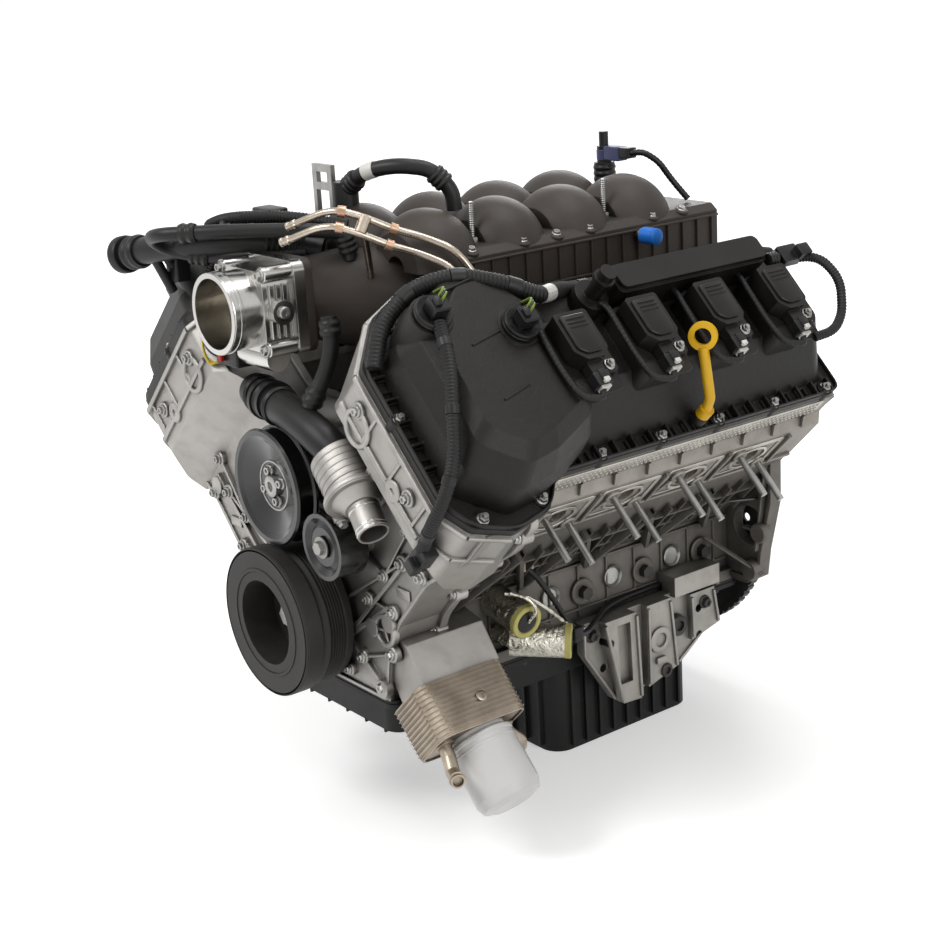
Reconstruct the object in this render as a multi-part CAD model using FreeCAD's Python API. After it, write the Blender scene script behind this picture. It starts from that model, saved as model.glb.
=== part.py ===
import FreeCAD, Part
import math
import os

os.makedirs("parts", exist_ok=True)
V = FreeCAD.Vector

# A 90 degree V8 with four overhead camshafts.
# X points to the engine's left bank, Y to the rear and Z up. The origin is on the crank axis,
# in the bell housing face at the rear of the block. All sizes are in millimetres.

# Cylinders and crank
bore = 92.2
bore_pitch = 100.0
stroke = 92.7
rod_length = 150.7
compression_height = 29.95
bank_half_angle = 45.0
bank_offset = 20.0
rear_main = 65.0
main_journal = 67.5
crank_pin = 53.0
pin_length = 46.0
bulkhead = 23.0
counterweight_radius = 78.0
running_gap = 0.05
axial_gap = 0.5

# Block and pan
block_length = 490.0
deck_inner = 72.0
deck_outer = 84.0
skirt_half = 128.0
rail_half = 138.0
rail_drop = 80.0
rail_thick = 14.0
cap_half = 75.0
cap_depth = 62.0
bay_radius = 95.0
skirt_wall = 13.0
bell_thick = 16.0
bell_half = 210.0
bell_bolt_x = 170.0
bell_bolt_z = 60.0
bell_bolt_radius = 6.3
starter_x = 170.0
starter_radius = 26.0
pan_wall = 4.0
pan_flange = 10.0
pan_shallow = 50.0
sump_depth = 165.0
sump_front = 300.0
sump_rear = 66.0

# Heads and cam covers, in bank coordinates: w outboard, y rearward, h up the bore axis
gasket = 1.0
head_height = 122.0
head_inner = 112.0
head_outer = 78.0
exhaust_face = 88.0
head_rear = 8.0
gallery_floor = 35.0
gallery_wall = 6.0
cam_spacing = 88.0
cam_height = 91.0
cam_journal = 30.0
cam_base = 30.0
cam_lift = 12.0
cam_nose_radius = 6.0
valve_angle = 18.5
valve_offset = 20.5
valve_seat = 8.5
spring_foot = 24.0
pivot_reach = 15.0
intake_valve = 37.0
exhaust_valve = 31.0
follower_thick = 7.0
cover_flange = 10.0
cover_top = 90.0
cover_wall = 4.0
chest_inner = 178.0
chest_outer = 124.0

# Timing drive and front cover
cover_front = 66.0
chest_front = 106.0
front_wall = 6.0
chain_pitch = 8.0
crank_teeth = 21
cam_teeth = 42
second_teeth = 32
chain_half = 3.2
chain_width = 8.0
left_chain_y = -524.0
right_chain_y = -511.0
second_chain_y = -565.0

# Mount brackets
bracket_y = -176.0
bracket_z = -110.0
bracket_pitch_y = 156.0
bracket_pitch_z = 36.0
bracket_hole = 5.3

# Front accessories
damper_radius = 88.0
damper_front = 631.0
damper_depth = 66.0
damper_recess = 50.0
damper_recess_depth = 44.0
pump_height = 158.0
pump_pulley_radius = 68.0
pump_pulley_front = 614.0
idler_x = 104.0
idler_z = 112.0
idler_radius = 38.0
idler_front = 612.0
throttle_bore = 80.0
throttle_lip = 92.0
throttle_x = -50.0
throttle_z = 353.0
throttle_front = 630.0
throttle_length = 90.0
spigot_radius = 17.5

# Flexplate
flexplate_radius = 178.0
flexplate_thick = 3.2
converter_pcd = 290.0
converter_holes = 6
crank_flange_y = 6.0

# Oil cooler and filter
cooler_centre = (194.0, -505.0, -87.0)
cooler_length = 122.0
cooler_width = 78.0
cooler_stack = 62.0
filter_radius = 39.0
filter_length = 88.0

deck_height = stroke / 2 + rod_length + compression_height
bay_half = skirt_half - skirt_wall
head_base = deck_height + gasket
cover_plane = head_base + head_height
cover_seat = cover_plane + cover_flange
cover_crown = cover_plane + cover_top
valve_stem = ((cam_height - cam_base / 2 - follower_thick - valve_seat)
              / math.cos(math.radians(valve_angle)) - 0.93)
phaser_radius = cam_spacing / 2 - 2.0
port_height = head_base + 57.0
block_front = -block_length
cover_face = block_front - cover_front
chest_face = block_front - chest_front
sine = math.sin(math.radians(bank_half_angle))
cosine = math.cos(math.radians(bank_half_angle))
mains = [-rear_main - bore_pitch * i for i in range(5)]
pins = [-rear_main - bore_pitch * (i + 0.5) for i in range(4)]
left_bores = [y + bank_offset / 2 for y in pins]
right_bores = [y - bank_offset / 2 for y in pins]
pin_angles = [225.0, -45.0, 135.0, 45.0]
BORES = {"left": left_bores, "right": right_bores}


def box(x0, x1, y0, y1, z0, z1):
    """Block between two corners."""
    return Part.makeBox(x1 - x0, y1 - y0, z1 - z0, V(x0, y0, z0))


def rod(start, end, radius):
    """Cylinder from one point to another."""
    a = V(*start)
    b = V(*end)
    return Part.makeCylinder(radius, a.distanceToPoint(b), a, b - a)


def pipe(start, end, outer, inner):
    """Straight tube from one point to another."""
    return rod(start, end, outer).cut(rod(start, end, inner))


def fuse(shapes):
    """One shape from several that touch or overlap."""
    first, rest = shapes[0], shapes[1:]
    return first.multiFuse(rest).removeSplitter() if rest else first


def cut_all(shape, tools):
    """The shape with every tool taken away."""
    return shape.cut(Part.makeCompound(tools)) if tools else shape


def slab_y(outline, y0, y1):
    """Outline of (x, z) points carried from y0 to y1."""
    points = [V(x, y0, z) for x, z in outline]
    return Part.Face(Part.makePolygon(points + points[:1])).extrude(V(0, y1 - y0, 0))


def slab_x(outline, x0, x1):
    """Outline of (y, z) points carried from x0 to x1."""
    points = [V(x0, y, z) for y, z in outline]
    return Part.Face(Part.makePolygon(points + points[:1])).extrude(V(x1 - x0, 0, 0))


def mirrored_outline(half):
    """Closed outline of (x, z) points, symmetric in x, from its right half."""
    return half + [(-x, z) for x, z in reversed(half) if x > 0]


def bent_edges(points, radius=None, closed=False):
    """Straight runs joined by tangent arcs. With no radius, each arc is as large as its runs allow."""
    corners = [V(*p) for p in points]
    count = len(corners)
    knots = []
    for i, corner in enumerate(corners):
        if not closed and i in (0, count - 1):
            knots.append((corner, None, corner))
            continue
        back = corners[i - 1] - corner
        ahead = corners[(i + 1) % count] - corner
        turn = math.pi - back.getAngle(ahead)
        reach = 0.45 * min(back.Length, ahead.Length)
        if radius is not None:
            reach = min(reach, radius * math.tan(turn / 2))
        bend = reach / math.tan(turn / 2)
        back.normalize()
        ahead.normalize()
        middle = back + ahead
        middle.normalize()
        knots.append((corner + back * reach, corner + middle * (bend / math.cos(turn / 2) - bend),
                      corner + ahead * reach))
    edges = []
    for i, (start, middle, end) in enumerate(knots):
        if middle is not None:
            edges.append(Part.Arc(start, middle, end).toShape())
        if i + 1 < count or closed:
            edges.append(Part.LineSegment(end, knots[(i + 1) % count][0]).toShape())
    return edges


def rounded_slab(outline, z0, z1, radius):
    """Outline of (x, y) points with rounded corners, carried from z0 to z1."""
    wire = Part.Wire(bent_edges([(x, y, z0) for x, y in outline], radius, True))
    return Part.Face(wire).extrude(V(0, 0, z1 - z0))


def bent_rod(points, radius, bend=None):
    """Round bar along straight runs joined by arcs."""
    path = Part.Wire(bent_edges(points, bend))
    start = V(*points[0])
    ring = Part.Wire(Part.makeCircle(radius, start, V(*points[1]) - start))
    return path.makePipeShell([ring], True, False)


def bent_pipe(points, outer, inner, bend=None):
    """Bent tube, open at both ends."""
    return bent_rod(points, outer, bend).cut(bent_rod(points, inner, bend))


def main_solid(shape, tools):
    """Largest solid left of a shape once its neighbours are cut away."""
    for tool in tools:
        shape = shape.cut(tool)
    return max(shape.Solids, key=lambda solid: solid.Volume)


def hexagon(centre, direction, flats, length):
    """Hexagonal prism, such as a bolt's head."""
    points = []
    for i in range(7):
        angle = math.radians(60 * i)
        reach = flats / 2 / math.cos(math.radians(30))
        points.append(V(reach * math.cos(angle), reach * math.sin(angle), 0))
    prism = Part.Face(Part.makePolygon(points)).extrude(V(0, 0, length))
    prism.Placement = FreeCAD.Placement(V(*centre), FreeCAD.Rotation(V(0, 0, 1), V(*direction)))
    return prism


def flange_bolt(seat, direction, flats=10.0, shank=3.0, grip=20.0):
    """Flanged hexagon bolt whose head stands on its seat and whose shank goes the other way."""
    out = V(*direction)
    out.normalize()
    base = V(*seat)
    washer = Part.makeCylinder(flats * 0.72, 2.0, base, out)
    head = hexagon(tuple(base + out * 2.0), tuple(out), flats, flats * 0.6)
    stem = Part.makeCylinder(shank, grip, base - out * grip, out)
    return fuse([washer, head, stem])


def on_bank(shape, side):
    """Moves a shape from bank coordinates to the engine."""
    turned = shape.copy()
    turned.rotate(V(0, 0, 0), V(0, 1, 0), bank_half_angle)
    return turned if side == "left" else turned.mirror(V(0, 0, 0), V(1, 0, 0))


def bank_xz(h, w):
    """Engine x and z of a place on the left bank."""
    return h * sine + w * cosine, h * cosine - w * sine


def bank_point(h, w, y, side="left"):
    x, z = bank_xz(h, w)
    return (x if side == "left" else -x, y, z)


def both_banks(shape):
    return Part.makeCompound([on_bank(shape, "left"), on_bank(shape, "right")])


# Crank, rods and pistons

def throw_point(index):
    """Crank pin centre at rest."""
    angle = math.radians(pin_angles[index])
    return V(stroke / 2 * math.sin(angle), pins[index], stroke / 2 * math.cos(angle))


def crank_web(index, y0, y1):
    """Cheek round a pin with its counterweight on the other side of the axis."""
    angle = math.radians(pin_angles[index])
    along = V(math.sin(angle), 0, math.cos(angle))
    across = V(math.cos(angle), 0, -math.sin(angle))
    pin = along * (stroke / 2)
    cheek_radius = crank_pin / 2 + 7.5
    hub_radius = main_journal / 2 + 8.0
    disc = rod((0, y0, 0), (0, y1, 0), counterweight_radius)
    reach = counterweight_radius + 5.0
    sides = [across * hub_radius, across * reach - along * 12.0, across * reach - along * reach,
             across * -reach - along * reach, across * -reach - along * 12.0, across * -hub_radius]
    fan = disc.common(slab_y([(p.x, p.z) for p in sides], y0, y1))
    neck = [across * hub_radius, pin + across * cheek_radius, pin - across * cheek_radius,
            across * -hub_radius]
    return fuse([fan, slab_y([(p.x, p.z) for p in neck], y0, y1),
                 rod((0, y0, 0), (0, y1, 0), hub_radius),
                 rod((pin.x, y0, pin.z), (pin.x, y1, pin.z), cheek_radius)])


def crankshaft():
    """Cross-plane crank with five mains and four shared pins."""
    nose_end = -damper_front + damper_recess_depth + 8.0
    pieces = [rod((0, block_front - 5.0, 0), (0, crank_flange_y - 12.0, 0), main_journal / 2 - running_gap),
              rod((0, nose_end, 0), (0, block_front - 5.0, 0), 19.0),
              rod((0, crank_flange_y - 12.0, 0), (0, crank_flange_y, 0), 46.0)]
    web = (bore_pitch - pin_length - bulkhead) / 2 - axial_gap
    holes = []
    for i, y in enumerate(pins):
        holes.append(rod((0, y - pin_length / 2, 0), (0, y + pin_length / 2, 0), main_journal))
        for sign in (-1, 1):
            near = y + sign * pin_length / 2
            far = near + sign * web
            pieces.append(crank_web(i, min(near, far), max(near, far)))
    body = cut_all(fuse(pieces), holes)
    journals = []
    for i, y in enumerate(pins):
        p = throw_point(i)
        journals.append(rod((p.x, y - pin_length / 2, p.z), (p.x, y + pin_length / 2, p.z),
                            crank_pin / 2 - running_gap))
    return fuse([body] + journals)


def piston_rest(side, index):
    """Height of the wrist pin above the crank axis, along the bore, at rest."""
    bank = math.radians(bank_half_angle if side == "left" else -bank_half_angle)
    angle = math.radians(pin_angles[index]) - bank
    across = stroke / 2 * math.sin(angle)
    return stroke / 2 * math.cos(angle) + math.sqrt(rod_length ** 2 - across ** 2)


def piston(side, index):
    """Slipper piston with three ring grooves, its rings and its wrist pin, made upright at h = 0."""
    radius = bore / 2 - running_gap
    wrist = 11.0
    skirt = 20.0
    groove = 3.6
    body = rod((0, 0, -skirt), (0, 0, compression_height), radius)
    hollow = rod((0, 0, -skirt), (0, 0, compression_height - 10.0), radius - 7.0)
    bosses = [rod((0, s * 12.0, 0), (0, s * 34.0, 0), wrist + 6.5) for s in (-1, 1)]
    bosses = fuse(bosses + [box(-9, 9, s * 23.0 - 11.0, s * 23.0 + 11.0, 0, 20.0) for s in (-1, 1)])
    body = fuse([body.cut(hollow), bosses.common(rod((0, 0, -skirt), (0, 0, 25.0), radius - 3.0))])
    slots = [box(-60, 60, s * 47.0 - 12.0, s * 47.0 + 12.0, -skirt - 1, 8.0) for s in (-1, 1)]
    bowl = rod((0, 0, compression_height - 1.5), (0, 0, compression_height), 30.0)
    grooves = []
    rings = []
    for top in (6.0, 12.0, 18.5):
        z = compression_height - top
        grooves.append(pipe((0, 0, z - 1.6), (0, 0, z), radius + 1, radius - groove))
        rings.append(pipe((0, 0, z - 1.6), (0, 0, z), bore / 2 - 0.02, radius - groove + 0.3))
    pin = rod((0, -30, 0), (0, 30, 0), wrist)
    body = cut_all(body, slots + [bowl, pin] + grooves)
    whole = Part.makeCompound([body, pin] + rings)
    whole.translate(V(0, BORES[side][index], piston_rest(side, index)))
    return on_bank(whole, side)


def connecting_rod(side, index):
    """Forged rod from its pin to the piston, with cap and big end."""
    y = BORES[side][index]
    width = bank_offset - 0.4
    pin = throw_point(index)
    lift = piston_rest(side, index)
    top = V(*bank_point(lift, 0, y, side))
    foot = V(pin.x, y, pin.z)
    along = top - foot
    along.normalize()
    across = V(along.z, 0, -along.x)
    half = V(0, width / 2, 0)
    slim = V(0, 7.0, 0)
    big = rod(tuple(foot - half), tuple(foot + half), crank_pin / 2 + 9.0)
    small = rod(tuple(top - half), tuple(top + half), 15.5)
    corners = [foot + across * 17.0, foot - across * 17.0, top - across * 9.0, top + across * 9.0]
    shank = slab_y([(p.x, p.z) for p in corners], y - 7.0, y + 7.0)
    ears = [foot + across * 38.0 - along * 14.0, foot + across * 38.0 + along * 14.0,
            foot - across * 38.0 + along * 14.0, foot - across * 38.0 - along * 14.0]
    shoulders = slab_y([(p.x, p.z) for p in ears], y - width / 2, y + width / 2)
    body = fuse([big, small, shank, shoulders])
    holes = [rod(tuple(foot - half * 1.2), tuple(foot + half * 1.2), crank_pin / 2 + running_gap),
             rod(tuple(top - half * 1.2), tuple(top + half * 1.2), 11.0 + running_gap)]
    waist = [foot + along * 45.0 + across * 8.0, foot + along * 45.0 - across * 8.0,
             top - along * 22.0 - across * 4.5, top - along * 22.0 + across * 4.5]
    for sign in (-1, 1):
        near = y + sign * 3.0
        far = y + sign * 7.5
        holes.append(slab_y([(p.x, p.z) for p in waist], min(near, far), max(near, far)))
    return cut_all(body, holes)


def connecting_rods():
    rods = [connecting_rod(side, i) for side in ("left", "right") for i in range(4)]
    return Part.makeCompound(rods)


# Block

def block_outline():
    valley = bank_xz(deck_height - 87.0, -deck_inner)
    half = [(0, valley[1]), valley, bank_xz(deck_height, -deck_inner), bank_xz(deck_height, deck_outer),
            bank_xz(deck_height - 31.0, deck_outer), (skirt_half + 22.0, 30.0), (skirt_half, 12.0),
            (skirt_half, rail_thick - rail_drop), (rail_half, rail_thick - rail_drop),
            (rail_half, -rail_drop), (0, -rail_drop)]
    return mirrored_outline(half)


def bell_outline():
    half = [(0, 205.0), (95.0, 205.0), (150.0, 158.0), (bell_half, 100.0), (bell_half, 40.0),
            (bell_half - 17.0, -30.0), (bell_half - 22.0, -66.0), (165.0, -rail_drop), (0, -rail_drop)]
    return mirrored_outline(half)


def side_bolts():
    """Cross bolts through the skirt into each main cap, on both sides."""
    bolts = []
    for y in mains:
        for sign in (-1, 1):
            bolts.append(flange_bolt((sign * (skirt_half + 3.0), y, -30.0), (sign, 0, 0), 15.0, 4.5, 74.0))
    return Part.makeCompound(bolts)


def cap_bolts():
    """Two upright bolts through each main cap."""
    bolts = []
    for y in mains:
        for sign in (-1, 1):
            bolts.append(flange_bolt((sign * 48.0, y, -cap_depth), (0, 0, -1), 13.0, 5.0, 110.0))
    return Part.makeCompound(bolts)


def block_ribs():
    """Crossed ribs on the wall between each head and its skirt."""
    ribs = []
    top = bank_xz(deck_height - 33.0, deck_outer)
    low = (skirt_half + 2.0, 11.0)
    for i, y in enumerate(mains):
        for lean in (-1, 1):
            far = y + lean * bore_pitch / 2
            if not block_front + 10.0 < far < -bell_thick:
                continue
            edge = [V(low[0], y - 3.0, low[1]), V(low[0], y + 3.0, low[1]),
                    V(top[0], far + 3.0, top[1]), V(top[0], far - 3.0, top[1])]
            face = Part.Face(Part.makePolygon(edge + edge[:1]))
            ribs.append(face.extrude(V(9.0, 0, -9.0)))
    return ribs


def cylinder_block():
    """Deep-skirt block: V section with bores, crank bays, cap seats and the bell housing flange."""
    body = fuse([slab_y(block_outline(), block_front, 0), slab_y(bell_outline(), -bell_thick, 0)])
    pads = []
    for y in mains:
        for sign in (-1, 1):
            pads.append(rod((sign * (skirt_half - 3.0), y, -30.0), (sign * (skirt_half + 3.0), y, -30.0), 15.0))
    ribs = block_ribs()
    ribs = ribs + [rib.mirror(V(0, 0, 0), V(1, 0, 0)) for rib in ribs]
    body = fuse([body] + pads + ribs)
    holes = [rod((0, block_front - 1, 0), (0, 1, 0), main_journal / 2)]
    holes.append(rod((0, -bell_thick - 16.0, 0), (0, 1, 0), 48.0))
    for y in pins:
        half = (bore_pitch - bulkhead) / 2
        holes.append(rod((0, y - half, 0), (0, y + half, 0), bay_radius))
        holes.append(box(-bay_half, bay_half, y - half, y + half, -rail_drop - 1, -10.0))
    for side in ("left", "right"):
        for y in BORES[side]:
            holes.append(on_bank(rod((0, y, 55.0), (0, y, deck_height + 1), bore / 2), side))
    for y in mains:
        holes.append(box(-cap_half, cap_half, y - bulkhead / 2 - axial_gap, y + bulkhead / 2 + axial_gap,
                         -rail_drop - 1, 0))
    for sx in (-1, 1):
        for sz in (-1, 1):
            x = sx * bell_bolt_x
            z = sz * bell_bolt_z
            holes.append(rod((x, -bell_thick - 1, z), (x, 1, z), bell_bolt_radius))
    holes.append(rod((starter_x, -bell_thick - 1, 0), (starter_x, 1, 0), starter_radius))
    holes.append(dipstick_bore())
    return cut_all(body, holes + [side_bolts(), cap_bolts()])


def main_bearing_caps():
    """Five caps that close the main bores from below."""
    caps = []
    for y in mains:
        half = bulkhead / 2
        cap = box(-cap_half, cap_half, y - half, y + half, -cap_depth, 0)
        side = [(cap_half, -cap_depth), (cap_half, -44.0), (58.0, -cap_depth)]
        cap = cap.cut(slab_y(side, y - half, y + half))
        cap = cap.cut(slab_y([(-x, z) for x, z in side], y - half, y + half))
        caps.append(cap.cut(rod((0, y - half - 1, 0), (0, y + half + 1, 0), main_journal / 2)))
    return Part.makeCompound(caps).cut(Part.makeCompound([side_bolts(), cap_bolts()]))


def oil_pan():
    """Ribbed rear-sump pan with a shallow front."""
    top = -rail_drop
    back = -2.0
    front = cover_face
    flange = rounded_slab([(-rail_half, front), (rail_half, front), (rail_half, back), (-rail_half, back)],
                          top - pan_flange, top, 14.0)
    wide = rail_half - 16.0

    def tub(inset):
        low = top - pan_shallow + inset
        deep = -rail_drop - sump_depth + inset
        shallow = rounded_slab([(inset - wide, front + 12 + inset), (wide - inset, front + 12 + inset),
                                (wide - inset, back - 12 - inset), (inset - wide, back - 12 - inset)],
                               low, top, 20.0)
        edge = wide - 12.0 - inset
        sump = rounded_slab([(-edge, -sump_front + inset), (edge, -sump_front + inset),
                             (edge, -sump_rear - inset), (-edge, -sump_rear - inset)], deep, low + 1, 26.0)
        return fuse([shallow, sump])

    ribs = []
    edge = wide - 12.0
    for i in range(9):
        y = -sump_front + 26.0 + i * (sump_front - sump_rear - 52.0) / 8
        ribs.append(box(-edge - 5.0, edge + 5.0, y - 1.6, y + 1.6, top - sump_depth + 6.0, top - pan_flange))
    for i in range(7):
        x = -edge + 26.0 + i * (2 * edge - 52.0) / 6
        ribs.append(box(x - 1.6, x + 1.6, -sump_front - 5.0, -sump_rear + 5.0, top - sump_depth + 6.0,
                        top - pan_flange))
    body = fuse([flange, tub(0)] + ribs)
    return body.cut(tub(pan_wall))


def oil_pickup():
    """Pickup tube from the pump down to its strainer in the sump."""
    sump_mid = -(sump_front + sump_rear) / 2
    low = -rail_drop - sump_depth + 24.0
    path = [(60, block_front - 10.0, -96), (60, block_front + 70.0, -96), (30, sump_mid - 60, -108),
            (0, sump_mid, -150), (0, sump_mid, low)]
    strainer = rod((0, sump_mid, low - 14.0), (0, sump_mid, low), 38.0)
    return fuse([bent_rod(path, 9.0, 40.0), strainer])


# Heads, gaskets and valve gear

def bank_bolts(side):
    """Head bolt places beside the bores."""
    ys = [y + bore_pitch / 2 for y in BORES[side]] + [BORES[side][-1] - bore_pitch / 2]
    return [(w, y) for y in ys for w in (-62.0, 62.0)]


def head_gasket(side):
    plate = box(-deck_inner, deck_outer, block_front, -head_rear, deck_height, head_base)
    holes = [rod((0, y, deck_height - 1), (0, y, head_base + 1), bore / 2 + 0.5) for y in BORES[side]]
    holes.append(dipstick_hole())
    return on_bank(cut_all(plate, holes), side)


def valve_line(side, index, kind, twin):
    """Seat, direction and size of one valve, in bank coordinates."""
    lean = math.radians(valve_angle)
    sign = -1 if kind == "intake" else 1
    size = intake_valve if kind == "intake" else exhaust_valve
    y = BORES[side][index] + twin * (size / 2 + 1.5)
    seat = V(sign * valve_offset, y, head_base + valve_seat)
    return seat, V(sign * math.sin(lean), 0, math.cos(lean)), size


def valve_drop(side, index, kind):
    """How far a valve stands open at rest, along its own stem."""
    lift = lobe_reach(cam_phase(side, index, kind)) - cam_base / 2
    return lift / math.cos(math.radians(valve_angle))


def cam_phase(side, index, kind):
    """Turn of a lobe's nose from straight down at rest, by the crank angle of its cylinder."""
    bank = bank_half_angle if side == "left" else -bank_half_angle
    after_top = bank - pin_angles[index]
    cylinder = index if side == "left" else 3 - index
    cycle = (after_top + (360.0 if cylinder % 2 else 0.0)) % 720.0
    peak = 490.0 if kind == "intake" else 230.0
    return ((cycle - peak) / 2.0 + 180.0) % 360.0 - 180.0


def lobe_reach(phase):
    """How far a lobe reaches straight down from the camshaft's axis."""
    nose = cam_base / 2 + cam_lift - cam_nose_radius
    return max(cam_base / 2, nose * math.cos(math.radians(phase)) + cam_nose_radius)


def cam_lobe(y, phase, width=12.0):
    """Base circle and nose joined by flanks, about the y axis, nose turned from straight down."""
    nose = cam_base / 2 + cam_lift - cam_nose_radius
    base = cam_base / 2
    tilt = math.acos((base - cam_nose_radius) / nose)
    outline = []
    for sign in (-1, 1):
        pair = [(sign * base * math.sin(tilt), -base * math.cos(tilt)),
                (sign * cam_nose_radius * math.sin(tilt), -nose - cam_nose_radius * math.cos(tilt))]
        outline += pair if sign < 0 else pair[::-1]
    shape = fuse([rod((0, y - width / 2, 0), (0, y + width / 2, 0), base),
                  rod((0, y - width / 2, -nose), (0, y + width / 2, -nose), cam_nose_radius),
                  slab_y(outline, y - width / 2, y + width / 2)])
    shape.rotate(V(0, 0, 0), V(0, 1, 0), phase)
    return shape


def cam_centre(kind):
    sign = -1 if kind == "intake" else 1
    return sign * cam_spacing / 2, head_base + cam_height


def lobe_places(side, index, kind):
    size = intake_valve if kind == "intake" else exhaust_valve
    return [BORES[side][index] + twin * (size / 2 + 1.5) for twin in (-1, 1)]


def tower_places(side):
    """Camshaft bearings between the cylinders."""
    ys = BORES[side]
    return [ys[0] + bore_pitch / 2 - 4.0] + [y - bore_pitch / 2 for y in ys[:3]] + [ys[3] - bore_pitch / 2]


def camshaft(side, kind):
    """Hollow camshaft with two lobes for each cylinder and five journals."""
    w, h = cam_centre(kind)
    y_front = second_chain_y + 40.0
    y_back = BORES[side][0] + bore_pitch / 2 + 6.0
    pieces = [rod((0, y_front, 0), (0, y_back, 0), 12.0)]
    for y in tower_places(side):
        pieces.append(rod((0, y - 11.0, 0), (0, y + 11.0, 0), cam_journal / 2 - running_gap))
    for i in range(4):
        for y in lobe_places(side, i, kind):
            pieces.append(cam_lobe(y, cam_phase(side, i, kind)))
    shaft = fuse(pieces).cut(rod((0, y_front - 1, 0), (0, y_back - 12.0, 0), 6.0))
    shaft.translate(V(w, 0, h))
    return on_bank(shaft, side)


def sprocket(y, teeth, width):
    """Toothed wheel for the chain, about the y axis."""
    pitch_radius = chain_pitch / 2 / math.sin(math.pi / teeth)
    outer = pitch_radius - chain_half - 0.3
    wheel = rod((0, y - width / 2, 0), (0, y + width / 2, 0), outer)
    gaps = []
    for i in range(teeth):
        angle = 2 * math.pi * i / teeth
        x = (outer + 0.9) * math.cos(angle)
        z = (outer + 0.9) * math.sin(angle)
        gaps.append(rod((x, y - width, z), (x, y + width, z), 2.6))
    return cut_all(wheel, gaps)


def cam_phaser(side, kind):
    """Timing unit on the front of a camshaft, with its chain wheels."""
    w, h = cam_centre(kind)
    chain_y = left_chain_y if side == "left" else right_chain_y
    front = second_chain_y
    pieces = [rod((0, front + 9.0, 0), (0, left_chain_y - 5.5, 0), phaser_radius),
              rod((0, front - 8.0, 0), (0, front + 9.0, 0), 24.0),
              sprocket(front, second_teeth, chain_width - 1.0)]
    if kind == "intake":
        pieces.append(sprocket(chain_y, cam_teeth, chain_width - 1.0))
        pieces.append(rod((0, left_chain_y - 5.5, 0), (0, chain_y, 0), 30.0))
    else:
        pieces.append(rod((0, left_chain_y - 5.5, 0), (0, left_chain_y + 4.0, 0), 30.0))
    nuts = [rod((34 * math.cos(a), front + 4.0, 34 * math.sin(a)), (34 * math.cos(a), front + 9.0, 34 * math.sin(a)),
                4.5) for a in [math.radians(72 * i) for i in range(5)]]
    unit = fuse(pieces + nuts)
    bolt_head = rod((0, front - 14.0, 0), (0, front - 8.0, 0), 11.0)
    unit = fuse([unit, bolt_head]).cut(rod((0, second_chain_y + 40.0, 0), (0, -480.0, 0), 12.0))
    unit.translate(V(w, 0, h))
    return on_bank(unit, side)


def crank_sprocket():
    """Twin chain wheel on the crank nose."""
    wheels = [sprocket(y, crank_teeth, chain_width - 1.0) for y in (left_chain_y, right_chain_y)]
    hub = rod((0, left_chain_y - 6.0, 0), (0, block_front - 5.0, 0), 21.0)
    return fuse(wheels + [hub]).cut(rod((0, left_chain_y - 20, 0), (0, block_front, 0), 19.0))


def belt_band(first, first_radius, second, second_radius, y):
    """Closed chain round two wheels, as a band of the chain's own height and width."""
    a = V(first[0], 0, first[1])
    b = V(second[0], 0, second[1])
    span = b - a
    length = span.Length
    along = V(span.x / length, 0, span.z / length)
    across = V(along.z, 0, -along.x)
    tilt = math.asin((first_radius - second_radius) / length)
    solids = []
    for grow in (chain_half, -chain_half):
        r1 = first_radius + grow
        r2 = second_radius + grow
        sides = []
        for sign in (1, -1):
            normal = across * (sign * math.cos(tilt)) + along * math.sin(tilt)
            sides.append((a + normal * r1, b + normal * r2))
        quad = [(p.x, p.z) for p in (sides[0][0], sides[0][1], sides[1][1], sides[1][0])]
        solids.append(fuse([rod((a.x, y - chain_width / 2, a.z), (a.x, y + chain_width / 2, a.z), r1),
                            rod((b.x, y - chain_width / 2, b.z), (b.x, y + chain_width / 2, b.z), r2),
                            slab_y(quad, y - chain_width / 2, y + chain_width / 2)]))
    return solids[0].cut(solids[1])


def pitch_radius(teeth):
    return chain_pitch / 2 / math.sin(math.pi / teeth)


def timing_chains():
    """Two long chains from the crank and two short ones between each bank's camshafts."""
    bands = []
    for side, y in (("left", left_chain_y), ("right", right_chain_y)):
        sign = 1 if side == "left" else -1
        w, h = cam_centre("intake")
        x, z = bank_xz(h, w)
        bands.append(belt_band((0, 0), pitch_radius(crank_teeth), (sign * x, z), pitch_radius(cam_teeth), y))
        w2, h2 = cam_centre("exhaust")
        short = belt_band((w, h), pitch_radius(second_teeth), (w2, h2), pitch_radius(second_teeth),
                          second_chain_y)
        bands.append(on_bank(short, side))
    return Part.makeCompound(bands)


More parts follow.
